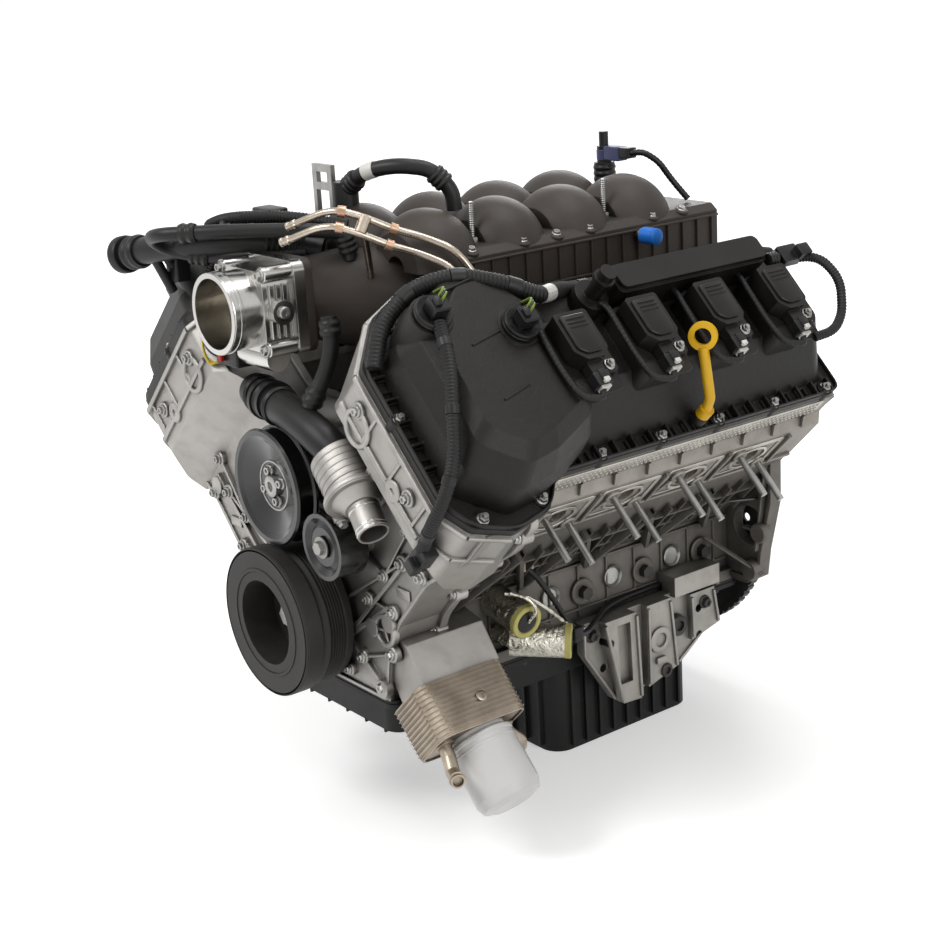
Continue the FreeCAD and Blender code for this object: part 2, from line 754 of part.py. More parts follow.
def chain_guides():
    """A fixed guide and a tensioner arm beside each long chain."""
    guides = []
    w, h = cam_centre("intake")
    x, z = bank_xz(h, w)
    length = math.hypot(x, z)
    small = pitch_radius(crank_teeth)
    large = pitch_radius(cam_teeth)
    tilt = math.asin((large - small) / length)
    for side, y in (("left", left_chain_y), ("right", right_chain_y)):
        sign = 1 if side == "left" else -1
        along = V(x / length, 0, z / length)
        across = V(along.z, 0, -along.x)
        for hand in (1, -1):
            normal = across * (hand * math.cos(tilt)) - along * math.sin(tilt)
            run = along * math.cos(tilt) + across * (hand * math.sin(tilt))
            base = normal * (small + chain_half + 0.3)
            thick = 9.0 if hand > 0 else 12.0
            corners = [base + run * 55.0, base + run * (length - 75.0),
                       base + run * (length - 85.0) + normal * thick, base + run * 62.0 + normal * thick]
            bar = slab_y([(sign * p.x, p.z) for p in corners], y - 5.0, y + 5.0)
            lug = corners[0] + (corners[3] - corners[0]) * 0.5 + run * 14.0
            post = rod((sign * lug.x, y + 4.0, lug.z), (sign * lug.x, block_front, lug.z), 4.0)
            lug2 = lug + run * (length - 160.0)
            post2 = rod((sign * lug2.x, y + 4.0, lug2.z), (sign * lug2.x, block_front, lug2.z), 4.0)
            guides.append(fuse([bar, post, post2]))
    return Part.makeCompound(guides)


def valve(side, index, kind, twin):
    """One valve with its tip against the follower, open by its lobe's lift."""
    seat, out, size = valve_line(side, index, kind, twin)
    seat = seat - out * valve_drop(side, index, kind)
    stem = Part.makeCylinder(2.75, valve_stem, seat, out)
    head = Part.makeCone(size / 2, 2.75, 7.0, seat, out)
    edge = Part.makeCylinder(size / 2, 1.6, seat - out * 1.6, out)
    return fuse([stem, head, edge])


def spring_part(side, index, kind, twin):
    """Coiled valve spring drawn as its sleeve, with the retainer on top."""
    seat, out, size = valve_line(side, index, kind, twin)
    foot = seat + out * spring_foot
    tall = valve_stem - 9.0 - spring_foot - valve_drop(side, index, kind)
    top = foot + out * tall
    sleeve = Part.makeCylinder(10.5, tall, foot, out).cut(Part.makeCylinder(8.0, tall, foot, out))
    cap = Part.makeCylinder(11.0, 2.5, top, out).cut(Part.makeCylinder(2.8, 3.0, top, out))
    return fuse([sleeve, cap])


def follower(side, index, kind, twin):
    """Finger from its lash pivot to the valve tip, its pad under the lobe."""
    w, h = cam_centre(kind)
    sign = -1 if kind == "intake" else 1
    seat, out, size = valve_line(side, index, kind, twin)
    reach = lobe_reach(cam_phase(side, index, kind))
    y = seat.y
    top = h - reach
    ends = sorted((w - sign * 14.0, w + sign * 21.0))
    pad = box(ends[0], ends[1], y - 6.0, y + 6.0, top - follower_thick, top)
    foot = w + sign * pivot_reach
    pivot = rod((foot, y, head_base + gallery_floor - 6.0), (foot, y, top - follower_thick + 0.5), 5.5)
    return fuse([pad, pivot])


def each_valve(maker):
    solids = []
    for side in ("left", "right"):
        for index in range(4):
            for kind in ("intake", "exhaust"):
                for twin in (-1, 1):
                    solids.append(on_bank(maker(side, index, kind, twin), side))
    return Part.makeCompound(solids)


def flange_outline(inset=0.0):
    """Edge of the cam cover where it meets the head and front cover, as (w, y) points."""
    i = inset
    return [(head_outer - i, -head_rear - i), (head_outer - i, -448.0 + i), (112.0 - i, -476.0 + i),
            (chest_outer - i, -528.0), (108.0 - i, -574.0 + i), (76.0 - i, chest_face + i),
            (-96.0 + i, chest_face + i), (-152.0 + i, -552.0 + i), (-chest_inner + i, -500.0 + i),
            (-chest_inner + 2.0 + i, -440.0 - i), (-146.0 + i, -402.0 - i), (-head_inner + i, -388.0 - i),
            (-head_inner + i, -head_rear - i)]


def cover_bolt_places():
    """Bolts round the cam cover's flange, as (w, y) points."""
    e = 7.0
    places = [(head_outer - e, y) for y in (-30.0, -118.0, -206.0, -294.0, -382.0)]
    places += [(-head_inner + e, y) for y in (-30.0, -118.0, -206.0, -294.0, -372.0)]
    places += [(100.0, -482.0), (102.0, -560.0), (-28.0, chest_face + e), (-138.0, -556.0 + 16.0), (-165.0, -436.0)]
    return places


def head_outline():
    """Section of a head in bank coordinates, as (w, h) points."""
    top = cover_plane
    return [(-deck_inner - 8.0, head_base), (deck_outer, head_base), (exhaust_face, head_base + 12.0),
            (exhaust_face, head_base + 78.0), (head_outer, head_base + 90.0), (head_outer, top),
            (-head_inner, top), (-head_inner, head_base + 30.0)]


def dipstick_line():
    """Foot and direction of the dipstick, in bank coordinates."""
    return (66.0, -238.0)


def dipstick_hole():
    w, y = dipstick_line()
    return rod((w, y, deck_height - 110.0), (w, y, cover_plane + 60.0), 3.6)


def dipstick_bore():
    return on_bank(dipstick_hole(), "left")


def exhaust_port(y):
    """Exhaust outlet in a head's outer face, in bank coordinates."""
    z = head_base + 42.0
    return rod((exhaust_face - 22.0, y, z), (exhaust_face + 1, y, z), 15.0)


def intake_port(y):
    """Intake inlet in a head's inner face, in bank coordinates."""
    z = port_height
    return rod((-head_inner - 1, y, z), (-head_inner + 24.0, y, z), 17.0)


def stud_places(y):
    z = head_base + 42.0
    return [(y - 27.0, z + 17.0), (y + 27.0, z - 17.0)]


def cylinder_head(side):
    """Head with chambers, ports, plug wells and an open cam gallery."""
    body = slab_y([(w, h) for w, h in head_outline()], block_front, -head_rear)
    shoulder = [(w, y) for w, y in flange_outline() if w < -head_inner - 1 and y > block_front - 1]
    shoulder = [(-head_inner + 1, block_front), (-chest_inner + 6.0, block_front), (-chest_inner + 2.0, -440.0),
                (-146.0, -402.0), (-head_inner + 1, -388.0)]
    body = fuse([body, rounded_slab(shoulder, cover_plane - 12.0, cover_plane, 6.0)])
    ledge = [(head_outer - 1, -448.0), (112.0, -476.0), (117.0, block_front), (head_outer - 1, block_front)]
    body = fuse([body, rounded_slab(ledge, cover_plane - 18.0, cover_plane, 2.0)])
    floor = head_base + gallery_floor
    gallery = box(-head_inner + 10.0, head_outer - gallery_wall, block_front + 8.0, -head_rear - 8.0, floor,
                  cover_plane + 1)
    wells = [rod((0, y, floor - 1), (0, y, cover_plane), 17.0) for y in BORES[side]]
    towers = []
    for y in tower_places(side):
        for kind in ("intake", "exhaust"):
            w, h = cam_centre(kind)
            towers.append(box(w - 24.0, w + 24.0, y - 10.0, y + 10.0, floor - 1, h))
    body = fuse([body.cut(gallery)] + wells + towers)
    holes = []
    for kind in ("intake", "exhaust"):
        w, h = cam_centre(kind)
        holes.append(rod((w, block_front - 1, h), (w, -head_rear - 8.0, h), cam_journal / 2))
    for index, y in enumerate(BORES[side]):
        holes.append(rod((0, y, head_base - 1), (0, y, head_base + 10.0), bore / 2 - 2.0))
        holes.append(rod((0, y, head_base + 9.0), (0, y, head_base + 40.0), 6.0))
        holes.append(rod((0, y, head_base + 32.0), (0, y, cover_plane + 1), 12.5))
        holes.append(exhaust_port(y))
        holes.append(intake_port(y))
        for kind in ("intake", "exhaust"):
            for twin in (-1, 1):
                seat, out, size = valve_line(side, index, kind, twin)
                holes.append(Part.makeCylinder(3.0, 60.0, seat, out))
                holes.append(Part.makeCylinder(size / 2 + 0.4, 22.0, seat - out * 22.0, out))
                holes.append(Part.makeCone(size / 2 + 0.4, 3.0, 7.4, seat, out))
                holes.append(Part.makeCylinder(size / 2 - 3.0, 14.0, seat, out))
                holes.append(Part.makeCylinder(11.6, 40.0, seat + out * spring_foot, out))
                pivot = cam_centre(kind)[0] + (-pivot_reach if kind == "intake" else pivot_reach)
                holes.append(rod((pivot, seat.y, floor - 6.0), (pivot, seat.y, floor + 1.0), 5.6))
        for sy, sz in stud_places(y):
            holes.append(rod((exhaust_face - 18.0, sy, sz), (exhaust_face + 1, sy, sz), 4.0))
    if side == "left":
        holes.append(dipstick_hole())
    caps = []
    for y in tower_places(side):
        for kind in ("intake", "exhaust"):
            w, h = cam_centre(kind)
            cap = slab_y([(w - 24.0, h), (w + 24.0, h), (w + 24.0, h + 8.0), (w + 12.0, h + 22.0),
                          (w - 12.0, h + 22.0), (w - 24.0, h + 8.0)], y - 10.0, y + 10.0)
            caps.append(cap.cut(rod((w, y - 11, h), (w, y + 11, h), cam_journal / 2)))
    return on_bank(Part.makeCompound([cut_all(body, holes)] + caps), side)


def spark_plugs():
    """One plug in the centre of each chamber."""
    plugs = []
    for side in ("left", "right"):
        for y in BORES[side]:
            base = head_base
            plug = fuse([rod((0, y, base + 8.0), (0, y, base + 32.0), 5.9), rod((0, y, base + 32.0), (0, y, base + 35.0), 9.0),
                         hexagon((0, y, base + 35.0), (0, 0, 1), 14.0, 12.0),
                         rod((0, y, base + 47.0), (0, y, base + 72.0), 4.6)])
            plugs.append(on_bank(plug, side))
    return Part.makeCompound(plugs)


def exhaust_studs():
    """Two long studs at each exhaust port."""
    studs = []
    for side in ("left", "right"):
        for y in BORES[side]:
            for sy, sz in stud_places(y):
                stud = fuse([rod((exhaust_face - 18.0, sy, sz), (exhaust_face + 58.0, sy, sz), 4.0),
                             hexagon((exhaust_face, sy, sz), (1, 0, 0), 11.0, 5.0)])
                studs.append(on_bank(stud, side))
    return Part.makeCompound(studs)


# Cam covers and what stands on them

coil_w = -22.0
well_radius = 12.5
solenoid_rise = 2.0
flank_run = 50.0


def dome(inset, rise):
    """Upper shell of the cam cover, drawn in from its flange, with a crowned chest in front."""
    low = cover_plane + cover_flange - 1.0
    body_outline = [(head_outer - 16.0 - inset, -head_rear - 14.0 - inset), (head_outer - 16.0 - inset, -420.0),
                    (-head_inner + 14.0 + inset, -420.0), (-head_inner + 14.0 + inset, -head_rear - 14.0 - inset)]
    body_top = [(w - flank_run if w > 0 else w + 4.0, y - 12.0 if y > -100 else y) for w, y in body_outline]
    wires = []
    for outline, z in ((body_outline, low), (body_top, cover_plane + rise - 22.0)):
        wires.append(Part.Wire(bent_edges([(w, y, z) for w, y in outline], 16.0, True)))
    back = Part.makeLoft(wires, True)
    chest_low = [(head_outer - 14.0, -400.0), (98.0 - inset, -480.0 + inset), (106.0 - inset, -530.0),
                 (66.0 - inset, chest_face + 14.0 + inset), (-92.0 + inset, chest_face + 14.0 + inset),
                 (-160.0 + inset, -505.0 + inset), (-160.0 + inset, -446.0 - inset), (-96.0, -392.0)]
    wires = []
    for shrink, z in ((0.0, low), (6.0, cover_plane + rise - 40.0), (20.0, cover_plane + rise - 12.0),
                      (38.0, cover_plane + rise)):
        ring = []
        for w, y in chest_low:
            towards = V(-30.0 - w, -480.0 - y, 0)
            towards.normalize()
            ring.append((w + towards.x * shrink, y + towards.y * shrink, z))
        wires.append(Part.Wire(bent_edges(ring, 24.0, True)))
    chest = Part.makeLoft(wires, True, True)
    return fuse([back, chest])


def coil_wells(side):
    return [(coil_w, y) for y in BORES[side]]


def solenoid_places(side):
    """Cam timing solenoids in the chest, as (w, y) points."""
    return [(-92.0, -548.0), (-58.0, BORES[side][3] - 50.0)]


def cam_cover(side):
    """Moulded cover with a ribbed flange, coil seats and solenoid towers."""
    crown = cover_crown
    flange = rounded_slab(flange_outline(), cover_plane, cover_seat, 14.0)
    towers = []
    for w, y in coil_wells(side):
        towers.append(rounded_slab([(w - 34.0, y - 27.0), (w + 50.0, y - 27.0), (w + 50.0, y + 37.0),
                                    (w - 34.0, y + 27.0)], cover_seat, crown, 12.0))
    for w, y in solenoid_places(side):
        towers.append(rod((w, y, cover_seat), (w, y, crown + solenoid_rise), 24.0))
    ribs = []
    rib_top = cover_seat + 9.0
    for i in range(16):
        y = -24.0 - i * 26.0
        ribs.append(box(head_outer - 18.0, head_outer - 2.0, y - 1.2, y + 1.2, cover_seat - 1, rib_top))
    for i in range(6):
        w = 62.0 - i * 28.0
        ribs.append(box(w - 1.2, w + 1.2, chest_face + 2.0, chest_face + 20.0, cover_seat - 1, rib_top))
    bosses = [rod((w, y, cover_plane), (w, y, cover_seat + 2.0), 9.0) for w, y in cover_bolt_places()]
    body = fuse([flange, dome(0.0, cover_top)] + towers + ribs + bosses)
    holes = [dome(cover_wall, cover_top - cover_wall),
             rounded_slab(flange_outline(14.0), cover_plane - 1, cover_seat, 10.0)]
    sleeves = [rod((0, y, cover_plane), (0, y, crown), well_radius + 4.0) for y in BORES[side]]
    for w, y in solenoid_places(side):
        sleeves.append(rod((w, y, crown - 44.0), (w, y, crown + solenoid_rise), 24.0))
    body = fuse([cut_all(body, holes)] + sleeves)
    bores = [rod((0, y, cover_plane - 1), (0, y, crown), well_radius) for y in BORES[side]]
    for w, y in solenoid_places(side):
        bores.append(rod((w, y, crown - 60.0), (w, y, crown + 10.0), 14.0))
    if side == "left":
        w, y = dipstick_line()
        body = fuse([body, rod((w, y, cover_plane), (w, y, cover_seat + 18.0), 9.0)])
        bores.append(dipstick_hole())
    else:
        body = fuse([body, rod((filler_w, filler_y, crown - 30.0), (filler_w, filler_y, filler_seat), 24.0)])
        bores.append(rod((filler_w, filler_y, crown - 60.0), (filler_w, filler_y, crown + 20.0), 17.0))
    return on_bank(cut_all(body, bores), side)


filler_w = -20.0
filler_y = -520.0
filler_seat = cover_crown + 6.0


def filler_cap():
    """Oil filler cap with grip ribs, on the right cover."""
    z = filler_seat
    cap = rod((filler_w, filler_y, z + 0.3), (filler_w, filler_y, z + 16.0), 27.0)
    plug = rod((filler_w, filler_y, z - 16.0), (filler_w, filler_y, z + 0.3), 16.6)
    wings = [box(filler_w - 30.0, filler_w + 30.0, filler_y - 4.0, filler_y + 4.0, z + 10.0, z + 24.0)]
    return on_bank(fuse([cap, plug] + wings), "right")


def ignition_coils():
    """Coil on each plug: body, ear with its screw hole, connector and boot."""
    coils = []
    top = cover_crown
    for side in ("left", "right"):
        for y in BORES[side]:
            body = rounded_slab([(coil_w - 29.0, y - 22.0), (coil_w + 18.0, y - 22.0), (coil_w + 30.0, y - 10.0),
                                 (coil_w + 30.0, y + 14.0), (coil_w + 20.0, y + 22.0), (coil_w - 29.0, y + 22.0)],
                                top, top + 22.0, 4.0)
            ear = rounded_slab([(-8.0, y + 10.0), (22.0, y + 10.0), (22.0, y + 32.0), (-8.0, y + 32.0)],
                               top, top + 8.0, 6.0)
            socket = box(coil_w + 26.0, coil_w + 46.0, y - 9.0, y + 9.0, top + 2.0, top + 15.0)
            boot = rod((0, y, head_base + 76.0), (0, y, top), well_radius - 0.9)
            coil = fuse([body, ear, socket, boot])
            coils.append(on_bank(coil, side))
    return Part.makeCompound(coils)


def cam_solenoids():
    """Round solenoid ends with their plugs, two in each chest."""
    units = []
    z = cover_crown + solenoid_rise
    for side in ("left", "right"):
        for w, y in solenoid_places(side):
            unit = fuse([rod((w, y, z - 34.0), (w, y, z), 13.7), rod((w, y, z), (w, y, z + 9.0), 19.0),
                         box(w - 9.0, w + 9.0, y - 9.0, y + 9.0, z + 9.0, z + 24.0)])
            units.append(on_bank(unit, side))
    return Part.makeCompound(units)


def oil_separator():
    """Flat separator box along the inner side of the left cover, with its vent fitting."""
    z = cover_crown - 22.0
    bar = rounded_slab([(-96.0, -322.0), (-60.0, -322.0), (-60.0, -96.0), (-96.0, -96.0)], z, z + 40.0, 9.0)
    lid = rounded_slab([(-93.0, -319.0), (-63.0, -319.0), (-63.0, -99.0), (-93.0, -99.0)], z + 40.0, z + 46.0, 8.0)
    x, y = -78.0, -340.0
    base = fuse([rod((x, y, z - 6.0), (x, y, z + 20.0), 20.0), rod((x, y, z + 20.0), (x, y, z + 60.0), 9.5),
                 rod((x, y, z + 44.0), (x, y, z + 50.0), 12.0)])
    bar = fuse([bar, lid])
    whole = fuse([bar, base])
    return main_solid(on_bank(whole, "left"), [NODES["left_cam_cover"]])


def dipstick():
    """Pull ring, moulded stem and flat blade that slides in the head."""
    w, y = dipstick_line()
    foot = cover_plane + cover_flange + 18.0
    blade = rod((w, y, deck_height - 100.0), (w, y, foot + 6.0), 3.2)
    collar = rod((w, y, foot + 0.3), (w, y, foot + 12.0), 8.5)
    stick = on_bank(fuse([blade, collar]), "left")
    x, z = bank_xz(foot + 8.0, w)
    top = (x + 6.0, y - 8.0, z + 74.0)
    stem = bent_rod([(x, y, z), (x + 8.0, y - 1.0, z + 16.0), top], 6.0, 12.0)
    centre = V(top[0], top[1], top[2] + 12.0)
    face = V(0.6, -0.8, 0)
    loop = Part.makeCylinder(16.0, 7.0, centre - face * 3.5, face)
    loop = loop.cut(Part.makeCylinder(9.5, 9.0, centre - face * 4.5, face))
    return stem.fuse(loop).fuse(stick)


# Front cover, pump and belt pulleys

def front_outline():
    half = [(0, 236.0), (74.0, 236.0), bank_xz(262.0, -head_inner + 2.0), bank_xz(cover_plane, -head_inner + 2.0),
            bank_xz(cover_plane, chest_outer - 6.0), bank_xz(cover_plane - 50.0, chest_outer - 6.0),
            bank_xz(215.0, 98.0), (skirt_half + 36.0, 20.0), (rail_half + 2.0, -30.0),
            (skirt_half + 4.0, -rail_drop), (0, -rail_drop)]
    return mirrored_outline(half)


def chest_block(inset):
    """Front box of one bank that carries the cam cover's chest, in bank coordinates."""
    outline = [(w, y) for w, y in flange_outline(inset)]
    shadow = rounded_slab(outline, 200.0, cover_plane, 14.0)
    low = 238.0 + inset
    side = [(block_front, low), (cover_face + inset, low), (chest_face + inset, low + 44.0),
            (chest_face + inset, cover_plane), (block_front, cover_plane)]
    body = shadow.common(slab_x(side, -200.0, 200.0))
    shift = inset * 1.3
    wedge = [(-220.0, 180.0), (-220.0, cover_plane - 12.0 + shift), (-172.0, cover_plane - 12.0 + shift),
             (-head_inner + inset, 285.0 + shift), (-head_inner + inset, 180.0)]
    return body.cut(slab_y(wedge, chest_face - 1, block_front + 1))


def front_ribs():
    """Raised ribs and bosses on the front cover's face."""
    ribs = []
    for sign in (-1, 1):
        start = V(sign * 62.0, 0, -20.0)
        for x, z in ((150.0, 40.0), (128.0, -60.0), (205.0, 118.0)):
            end = V(sign * x, 0, z)
            run = end - start
            side = V(-run.z, 0, run.x)
            side.normalize()
            corners = [start + side * 2.5, end + side * 2.5, end - side * 2.5, start - side * 2.5]
            ribs.append(slab_y([(p.x, p.z) for p in corners], cover_face - 6.0, cover_face + 2.0))
        for x, z in ((150.0, 22.0), (128.0, -64.0), (118.0, 8.0), (206.0, 104.0)):
            ribs.append(rod((sign * x, cover_face - 8.0, z), (sign * x, cover_face + 2.0, z), 11.0))
    ribs.append(rod((0, cover_face - 5.0, 0), (0, cover_face + 2.0, 0), 60.0))
    return ribs


def timing_cover():
    """Cast front cover over the chains, open at the back and under each cam cover."""
    outline = front_outline()
    body = slab_y(outline, cover_face, block_front)
    chest = chest_block(0.0)
    outer = fuse([body, on_bank(chest, "left"), on_bank(chest, "right")] + front_ribs())
    face = Part.Face(Part.makePolygon([V(x, 0, z) for x, z in outline + outline[:1]]))
    inner_wire = face.OuterWire.makeOffset2D(-front_wall)
    inner = Part.Face(inner_wire).extrude(V(0, cover_front - front_wall + 1.0, 0))
    inner.translate(V(0, cover_face + front_wall, 0))
    hollow = chest_block(front_wall)
    hollow = fuse([hollow, rounded_slab(chest_mouth(), cover_plane - 20.0, cover_plane + 1, 8.0)])
    cavity = [inner, on_bank(hollow, "left"), on_bank(hollow, "right")]
    cavity.append(rod((0, cover_face - 10, 0), (0, cover_face + 20.0, 0), 27.0))
    body = cut_all(outer, cavity)
    bottom = box(-105.0, 105.0, cover_face + front_wall, block_front, -rail_drop - 1, -rail_drop + front_wall + 1)
    seat = rod((0, cover_face + 0.5, pump_height), (0, block_front, pump_height), 12.0)
    return fuse([body.cut(bottom), seat])


def chest_mouth():
    """Opening of the front cover towards the cam cover, as (w, y) points."""
    i = front_wall + 2.0
    return [(100.0 - i, block_front - 1), (108.0 - i, -528.0), (96.0 - i, -566.0 + i), (70.0 - i, chest_face + i),
            (-92.0 + i, chest_face + i), (-138.0 + i, -540.0 + i), (-150.0 + i, block_front - 1)]


def oil_pump():
    """Pump body round the crank nose."""
    plate = [(-62, -58), (62, -58), (70, 0), (50, 52), (-50, 52), (-70, 0)]
    spout = box(46.0, 74.0, block_front - 15.0, block_front, -108.0, -40.0)
    body = fuse([slab_y(plate, block_front - 15.0, block_front), spout])
    return cut_all(body, [rod((0, block_front - 20, 0), (0, block_front + 1, 0), main_journal / 2 + 0.3),
                          rod((60, block_front - 10.0, -96), (60, block_front + 1, -96), 9.0)])


def damper_hub():
    """Hub of the crank damper: snout, web and rim."""
    front = -damper_front
    back = front + damper_depth
    rim = 60.0
    body = fuse([rod((0, front, 0), (0, back, 0), rim), rod((0, back, 0), (0, cover_face + 16.0, 0), 26.0)])
    holes = [rod((0, front - 1, 0), (0, front + damper_recess_depth, 0), damper_recess),
             rod((0, front, 0), (0, block_front, 0), 19.0)]
    holes.append(pipe((0, front + damper_recess_depth + 12.0, 0), (0, back + 1, 0), rim - 8.0, 32.0))
    for i in range(3):
        a = math.radians(120 * i + 30)
        x = 36.0 * math.cos(a)
        z = 36.0 * math.sin(a)
        holes.append(rod((x, front, z), (x, back, z), 5.0))
    return cut_all(body, holes)


def damper_rubber():
    """Rubber sleeve between the hub and the outer ring."""
    return pipe((0, 1.0 - damper_front, 0), (0, damper_depth - 1.0 - damper_front, 0), 64.0, 60.0)


def damper_ring():
    """Outer ring with six belt grooves behind its plain rim."""
    front = -damper_front
    groove = 3.56
    points = [(64.0, front), (damper_radius - 2.0, front), (damper_radius, front + 3.0),
              (damper_radius, front + 22.0), (damper_radius - 6.0, front + 27.0)]
    y = front + 34.0
    points.append((damper_radius - 3.0, y - 1.5))
    for i in range(6):
        points += [(damper_radius - 3.0, y), (damper_radius - 6.4, y + groove / 2), (damper_radius - 3.0, y + groove)]
        y += groove
    points += [(damper_radius - 3.0, y + 2.0), (damper_radius - 5.0, front + damper_depth), (64.0, front + damper_depth)]
    wire = Part.makePolygon([V(r, y, 0) for r, y in points + points[:1]])
    return Part.Face(wire).revolve(V(0, 0, 0), V(0, 1, 0), 360)


def damper_bolt():
    """Bolt and thick washer that hold the damper on the crank."""
    web = -damper_front + damper_recess_depth
    return fuse([rod((0, web - 4.0, 0), (0, web, 0), 24.0), hexagon((0, web - 4.0, 0), (0, -1, 0), 22.0, 13.0),
                 rod((0, web, 0), (0, web + 7.7, 0), 7.0)])


def flexplate():
    """Drive plate with lightening slots, converter holes and a toothed rim."""
    y = crank_flange_y
    disc = rod((0, y, 0), (0, y + flexplate_thick, 0), flexplate_radius - 8.0)
    ring = pipe((0, y - 3.0, 0), (0, y + 8.0, 0), flexplate_radius, flexplate_radius - 8.0)
    teeth = 80
    gaps = []
    for i in range(teeth):
        a = 2 * math.pi * i / teeth
        x = (flexplate_radius + 1.0) * math.cos(a)
        z = (flexplate_radius + 1.0) * math.sin(a)
        gaps.append(rod((x, y - 4.0, z), (x, y + 9.0, z), 3.4))
    holes = [rod((0, y - 1, 0), (0, y + 5, 0), 22.0)]
    for i in range(converter_holes):
        a = math.radians(360 / converter_holes * i)
        x = converter_pcd / 2 * math.cos(a)
        z = converter_pcd / 2 * math.sin(a)
        holes.append(rod((x, y - 1, z), (x, y + 5, z), 5.5))
        b = a + math.radians(180 / converter_holes)
        holes.append(rod((104 * math.cos(b), y - 1, 104 * math.sin(b)), (104 * math.cos(b), y + 5, 104 * math.sin(b)), 21.0))
    plate = fuse([cut_all(disc, holes), cut_all(ring, gaps)])
    bolts = []
    for i in range(8):
        a = math.radians(45 * i)
        bolts.append(hexagon((36 * math.cos(a), y + flexplate_thick, 36 * math.sin(a)), (0, 1, 0), 14.0, 7.0))
    return fuse([plate] + bolts)


def water_pump():
    """Pump housing with its bolt ears on the front cover."""
    back = cover_face
    front = -pump_pulley_front + 30.0
    z = pump_height
    body = fuse([rod((0, back - 10.0, z), (0, back, z), 52.0), rod((0, front, z), (0, back, z), 34.0)])
    ears = [rod((54 * math.cos(a), back - 12.0, z + 54 * math.sin(a)), (54 * math.cos(a), back, z + 54 * math.sin(a)), 9.0)
            for a in [math.radians(90 * i + 45) for i in range(4)]]
    return fuse([body] + ears).cut(rod((0, front - 1, z), (0, front + 21.0, z), 15.3))


def pulley_profile(radius, front, depth, dish, hub):
    """Half section of a pressed pulley as (radius, y) points."""
    return [(0, front + dish), (hub, front + dish), (hub + 8.0, front + dish), (radius - 14.0, front + 3.0),
            (radius - 8.0, front), (radius - 2.0, front), (radius, front + 3.0), (radius - 3.0, front + 6.0),
            (radius - 3.0, front + depth - 5.0), (radius, front + depth - 3.0), (radius, front + depth),
            (radius - 7.0, front + depth), (radius - 7.0, front + 9.0), (hub + 10.0, front + dish + 5.0),
            (0, front + dish + 5.0)]


def spun(points, x, z):
    """Profile of (radius, y) points turned about an axis along y through x and z."""
    wire = Part.makePolygon([V(r, y, 0) for r, y in points + points[:1]])
    solid = Part.Face(wire).revolve(V(0, 0, 0), V(0, 1, 0), 360)
    solid.translate(V(x, 0, z))
    return solid


def water_pump_pulley():
    """Dished steel pulley with its shaft and three bolts."""
    front = -pump_pulley_front
    dish = 12.0
    body = spun(pulley_profile(pump_pulley_radius, front, 27.0, dish, 22.0), 0, pump_height)
    shaft = rod((0, front + dish + 4.0, pump_height), (0, front + 48.0, pump_height), 15.0)
    nose = rod((0, front + dish - 5.0, pump_height), (0, front + dish, pump_height), 12.0)
    bolts = []
    for i in range(4):
        a = math.radians(90 * i + 20)
        bolts.append(hexagon((18 * math.cos(a), front + dish, pump_height + 18 * math.sin(a)), (0, -1, 0), 9.0, 5.0))
    return fuse([body, shaft, nose] + bolts)


def idler_post():
    """Boss and spindle that carry the idler."""
    boss = rod((idler_x, -idler_front + 38.0, idler_z), (idler_x, cover_face, idler_z), 20.0)
    return fuse([boss, rod((idler_x, -idler_front + 1.0, idler_z), (idler_x, -idler_front + 38.0, idler_z), 8.0),
                 hexagon((idler_x, -idler_front + 1.0, idler_z), (0, -1, 0), 14.0, 7.0),
                 rod((idler_x, -idler_front - 0.6, idler_z), (idler_x, -idler_front + 1.5, idler_z), 12.5)])


def idler_pulley():
    """Plain belt idler with its bearing bore."""
    front = -idler_front
    points = [(8.1, front + 3.0), (22.0, front + 3.0), (27.0, front + 6.0), (33.0, front + 1.0), (idler_radius, front + 1.0),
              (idler_radius, front + 37.0), (32.0, front + 37.0), (30.0, front + 14.0), (22.0, front + 14.0),
              (20.0, front + 36.0), (8.1, front + 36.0)]
    return spun(points, idler_x, idler_z)


thermostat_top = (112.0, -584.0, 210.0)
thermostat_low = (150.0, -590.0, 180.0)
spigot_end = (192.0, -600.0, 146.0)


def thermostat_housing():
    """Cast thermostat body with a neck to the front cover and a hose spigot."""
    body = fuse([rod(thermostat_top, thermostat_low, 33.0),
                 rod((118.0, cover_face, 188.0), (118.0, -592.0, 188.0), 26.0)])
    low = V(*thermostat_low)
    end = V(*spigot_end)
    out = end - low
    out.normalize()
    flange = Part.makeCylinder(37.0, 8.0, low, out)
    ears = [Part.makeCylinder(9.0, 8.0, low + V(*e), out) for e in ((24, 8, 30), (-24, -8, -30))]
    neck = Part.makeCone(30.0, spigot_radius + 2.0, 12.0, low + out * 8.0, out)
    spigot = Part.makeCylinder(spigot_radius, low.distanceToPoint(end), low, out)
    whole = fuse([body, flange, neck, spigot] + ears)
    bore = Part.makeCylinder(spigot_radius - 2.2, low.distanceToPoint(end) + 12.0, low - out * 10.0, out)
    whole = whole.cut(bore)
    idler_room = rod((idler_x, -660, idler_z), (idler_x, cover_face, idler_z), idler_radius + 3.0)
    return cut_all(whole, [box(0, 260, cover_face, block_front, 90, 260), chest_keep_out(), idler_room])


def chest_keep_out():
    """Space of the left chest with room round it."""
    return on_bank(chest_block(-0.5), "left")


def coolant_elbow():
    """Rubber elbow from the pipe behind the throttle to the thermostat."""
    path = [(-70.0, -574.0, 252.0), (-20.0, -582.0, 249.0), (40.0, -590.0, 243.0), (84.0, -590.0, 230.0),
            (thermostat_top[0] - 3.0, thermostat_top[1], thermostat_top[2] + 2.0)]
    hose = bent_rod(path, 20.0)
    rings = [rod((x, -581.0, 249.4), (x + 7.0, -582.0, 249.0), 24.0) for x in (-36.0, -20.0)]
    return fuse([hose] + rings).cut(thermostat_solid)


# Intake, throttle and fuel

